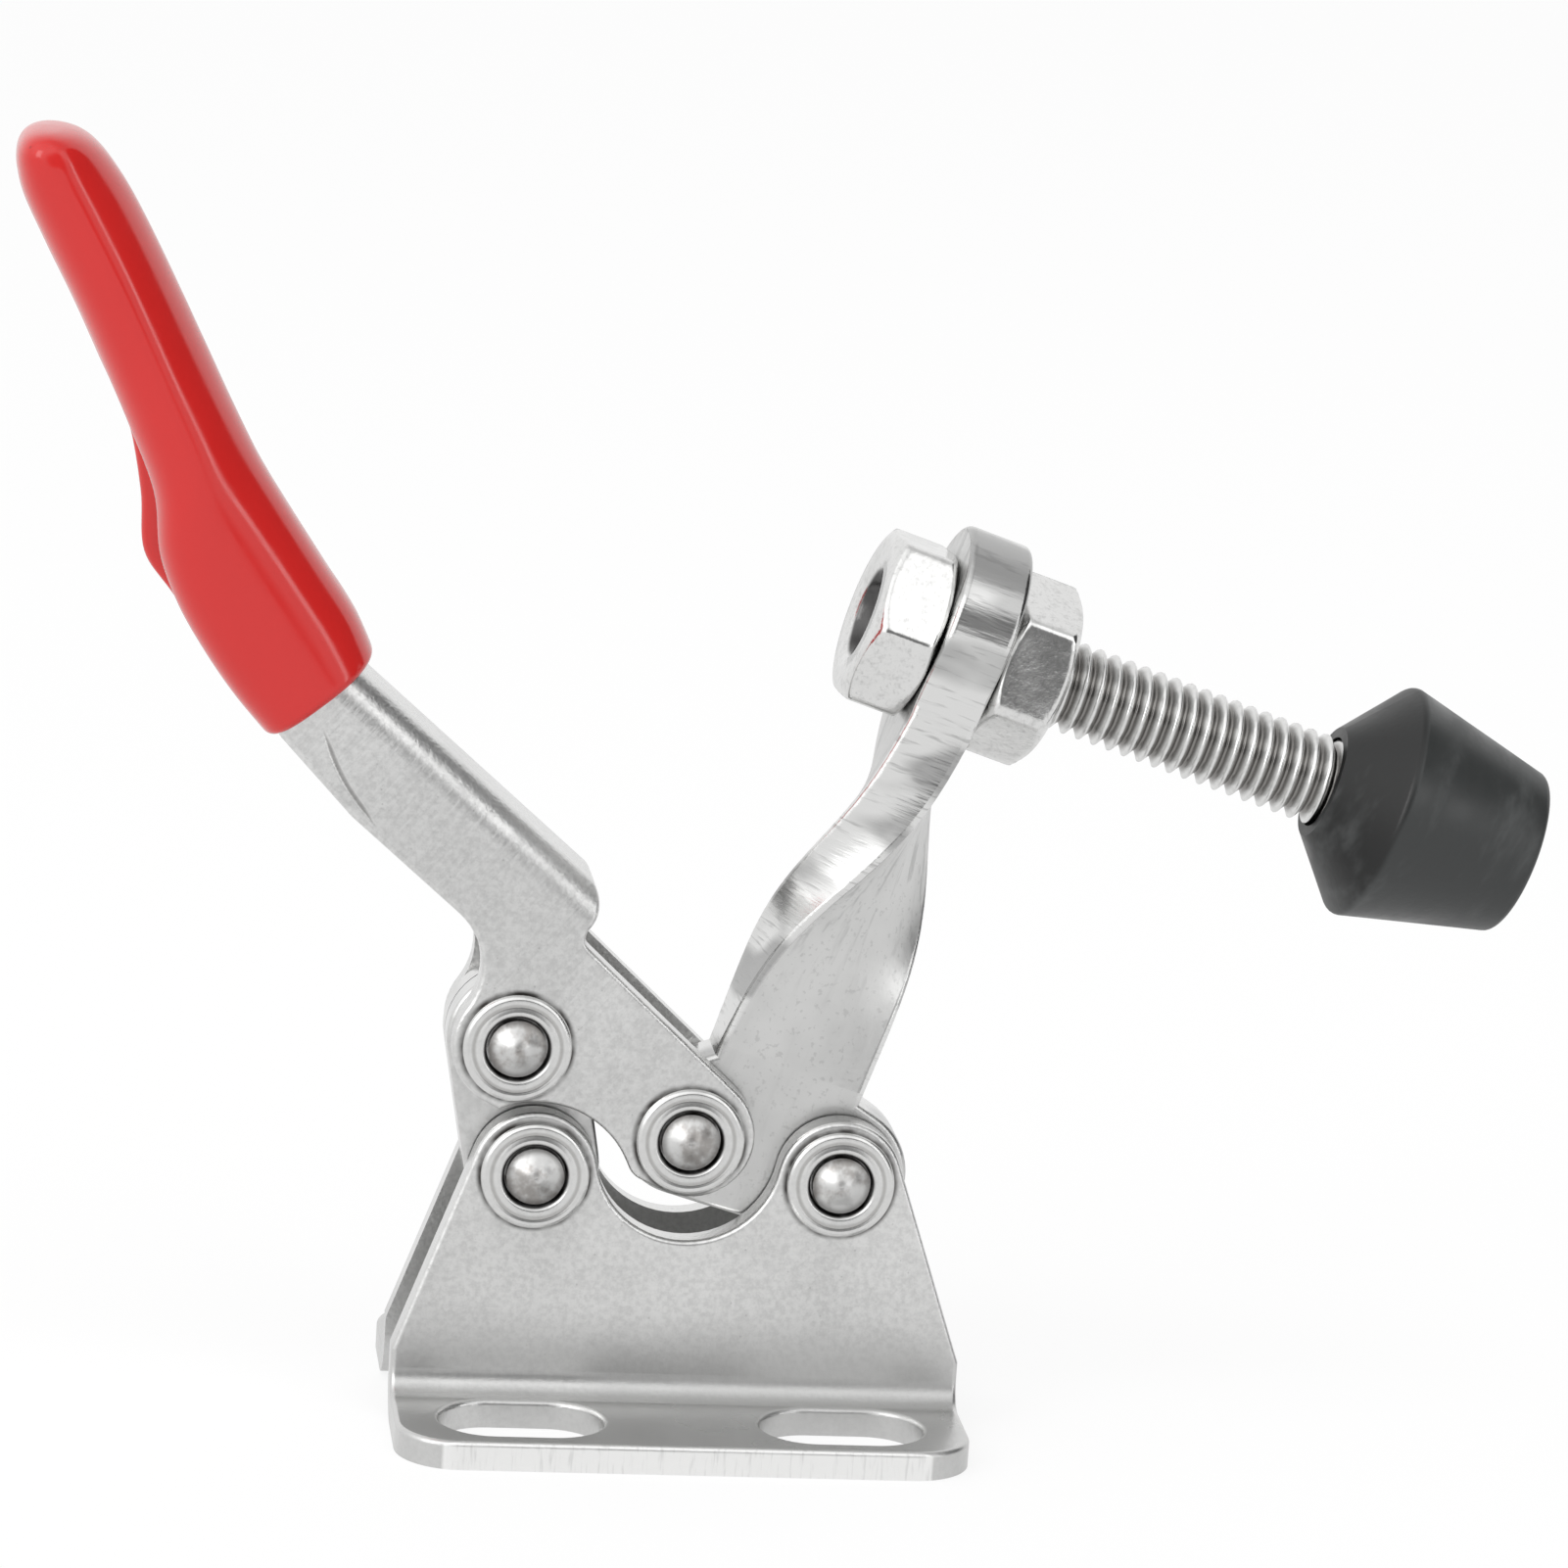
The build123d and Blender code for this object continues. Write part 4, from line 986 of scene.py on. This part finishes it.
class CLAMP_OT_studio(bpy.types.Operator):
    """Set up the pale floor, the soft studio light and the camera"""

    bl_idname = "clamp.studio"
    bl_label = "Studio"

    def execute(self, context):
        scene = context.scene
        scene.view_settings.view_transform = "Standard"
        self.make_floor(scene.clamp_settings.floor_colour)
        self.make_world(scene)
        self.make_lamps()
        self.make_camera(scene)
        return {"FINISHED"}

    def seen(self, tree, path, *kinds):
        """1 for the rays of the given kinds, 0 for the others."""
        share = path[f"Is {kinds[0]} Ray"]
        for kind in kinds[1:]:
            share = add(tree, "Math", share, path[f"Is {kind} Ray"], operation="MAXIMUM")
        return share

    def make_floor(self, colour):
        """A large pale floor that is nearly white to the eye and keeps a faint shadow."""
        mesh = bpy.data.meshes.new("floor")
        far, low = 3.0, -0.02 * MM
        corners = [(-far, -far, low), (far, -far, low), (far, far, low), (-far, far, low)]
        mesh.from_pydata(corners, [], [(0, 1, 2, 3)])
        floor = new_object("floor", mesh)
        material = bpy.data.materials.new("matt_white_floor")
        tree = empty_tree(material)
        path = add(tree, "LightPath").outputs
        matt = add(tree, "BsdfDiffuse", colour)
        # Metal sees the floor a little darker than the eye does, as it would a floor in soft shade.
        glow = add(tree, "MapRange", path["Is Glossy Ray"], 0.0, 1.0, 1.0, 0.86, **SMOOTH)
        white = add(tree, "Emission", WHITE, glow)
        seen = self.seen(tree, path, "Camera", "Transmission", "Glossy")
        share = add(tree, "Math", seen, 0.82, operation="MULTIPLY")
        add(tree, "OutputMaterial", add(tree, "MixShader", share, matt, white))
        mesh.materials.append(material)

    def make_world(self, scene):
        """An even white room with one darker side, so that the steel's bends read."""
        world = bpy.data.worlds.new("studio")
        scene.world = world
        tree = empty_tree(world)
        way = add(tree, "TexCoord").outputs["Generated"]
        level = 0.95
        # Direction, cosine where it starts, cosine where it is full, and how much it adds.
        for direction, outer, inner, change in (
            ((0.93, -0.02, 0.40), 0.84, 0.91, -0.88),
            ((0.08, -0.97, 0.20), 0.88, 0.97, -0.75),
            ((0.52, -0.60, 0.60), 0.95, 0.985, 0.50),
            ((0.10, 0.00, 1.00), 0.75, 0.95, -0.30),
            ((-0.55, -0.45, 0.70), 0.60, 0.92, 0.45),
        ):
            near = add(tree, "VectorMath", way, Vector(direction).normalized(), operation="DOT_PRODUCT")
            patch = add(tree, "MapRange", near, outer, inner, 0.0, change, **SMOOTH)
            level = add(tree, "Math", level, patch, operation="ADD")
        # A narrow upright strip light between the front and the dark side draws a line along bends.
        turn = math.radians(-38)
        across, ahead = (math.sin(turn), -math.cos(turn), 0), (math.cos(turn), math.sin(turn), 0)
        strip = add(tree, "VectorMath", way, across, operation="DOT_PRODUCT")
        strip = add(tree, "Math", strip, operation="ABSOLUTE")
        strip = add(tree, "MapRange", strip, 0.04, 0.09, 2.2, 0.0, **SMOOTH)
        front = add(tree, "VectorMath", way, ahead, operation="DOT_PRODUCT")
        front = add(tree, "MapRange", front, 0.86, 0.95, **SMOOTH)
        strip = add(tree, "Math", strip, front, operation="MULTIPLY")
        level = add(tree, "Math", level, strip, operation="ADD")
        level = add(tree, "Math", level, 0.0, operation="MAXIMUM")
        seen = self.seen(tree, add(tree, "LightPath").outputs, "Camera", "Transmission")
        room, white = add(tree, "Background", WHITE, level), add(tree, "Background", WHITE, 1.0)
        add(tree, "OutputWorld", add(tree, "MixShader", seen, room, white))

    def make_lamps(self):
        """Two soft boxes: a tall one at the left front and a wide one above. The room's own bright
        and dark sides take the upper one's place in reflections."""
        for name, place, size, watts, glossy in (
            ("soft_box_left", (-0.42, -0.34, 0.30), (0.24, 0.34), 0.60, True),
            ("soft_box_top", (0.05, -0.16, 0.50), (0.34, 0.16), 0.45, False),
        ):
            data = bpy.data.lights.new(name, "AREA")
            data.shape = "RECTANGLE"
            data.size, data.size_y = size
            data.energy = watts
            lamp = new_object(name, data)
            lamp.location = place
            lamp.visible_glossy = glossy
            aim = Vector((0.0, 0.0, 0.026)) - Vector(place)
            lamp.rotation_euler = aim.to_track_quat("-Z", "Y").to_euler()

    def make_camera(self, scene):
        """A short telephoto view from the front, 12 degrees above level."""
        azimuth, elevation, roll = (math.radians(v) for v in (-7.62, 12.47, 3.87))
        # Distance in millimetres, the image's width in pixels, and pixels to the millimetre at the
        # target.
        far, shot, scale = 260, 1601, 24.33
        target = Vector((3.30, 0.0, 27.36)) * MM
        level = Vector((math.cos(azimuth), math.sin(azimuth), 0))
        flat, lift = math.cos(elevation), math.sin(elevation)
        back = Vector((math.sin(azimuth) * flat, -math.cos(azimuth) * flat, lift))
        up = back.cross(level)
        right = level * math.cos(roll) + up * math.sin(roll)
        top = up * math.cos(roll) - level * math.sin(roll)
        data = bpy.data.cameras.new("camera")
        data.sensor_width = 36.0
        data.lens = scale * far / shot * data.sensor_width
        data.clip_start, data.clip_end = 0.01, 20
        camera = new_object("camera", data)
        turned = Matrix((right, top, back)).transposed().to_4x4()
        turned.translation = target + back * far * MM
        camera.matrix_world = turned
        scene.camera = camera


class CLAMP_PT_looks(bpy.types.Panel):
    """Lists the clamp's settings and the steps that dress it"""

    bl_idname = "CLAMP_PT_looks"
    bl_label = "Toggle Clamp"
    bl_space_type = "VIEW_3D"
    bl_region_type = "UI"
    bl_category = "Clamp"

    def draw(self, context):
        settings = context.scene.clamp_settings
        for name in settings.bl_rna.properties.keys():
            if name not in ("rna_type", "name"):
                self.layout.prop(settings, name)
        for operator in OPERATORS:
            self.layout.operator(operator.bl_idname)


OPERATORS = (
    CLAMP_OT_base_plates,
    CLAMP_OT_handle,
    CLAMP_OT_arm_and_links,
    CLAMP_OT_rivets_and_washers,
    CLAMP_OT_lock_nuts,
    CLAMP_OT_spindle,
    CLAMP_OT_grip,
    CLAMP_OT_rubber_tip,
    CLAMP_OT_studio,
)
CLASSES = (ClampSettings, *OPERATORS, CLAMP_PT_looks)


def register():
    for entry in CLASSES:
        bpy.utils.register_class(entry)
    bpy.types.Scene.clamp_settings = bpy.props.PointerProperty(type=ClampSettings)


def unregister():
    del bpy.types.Scene.clamp_settings
    for entry in reversed(CLASSES):
        bpy.utils.unregister_class(entry)


def main():
    register()
    bpy.ops.clamp.base_plates()
    bpy.ops.clamp.handle()
    bpy.ops.clamp.arm_and_links()
    bpy.ops.clamp.rivets_and_washers()
    bpy.ops.clamp.lock_nuts()
    bpy.ops.clamp.spindle()
    bpy.ops.clamp.grip()
    bpy.ops.clamp.rubber_tip()
    bpy.ops.clamp.studio()


if __name__ == "__main__":
    main()
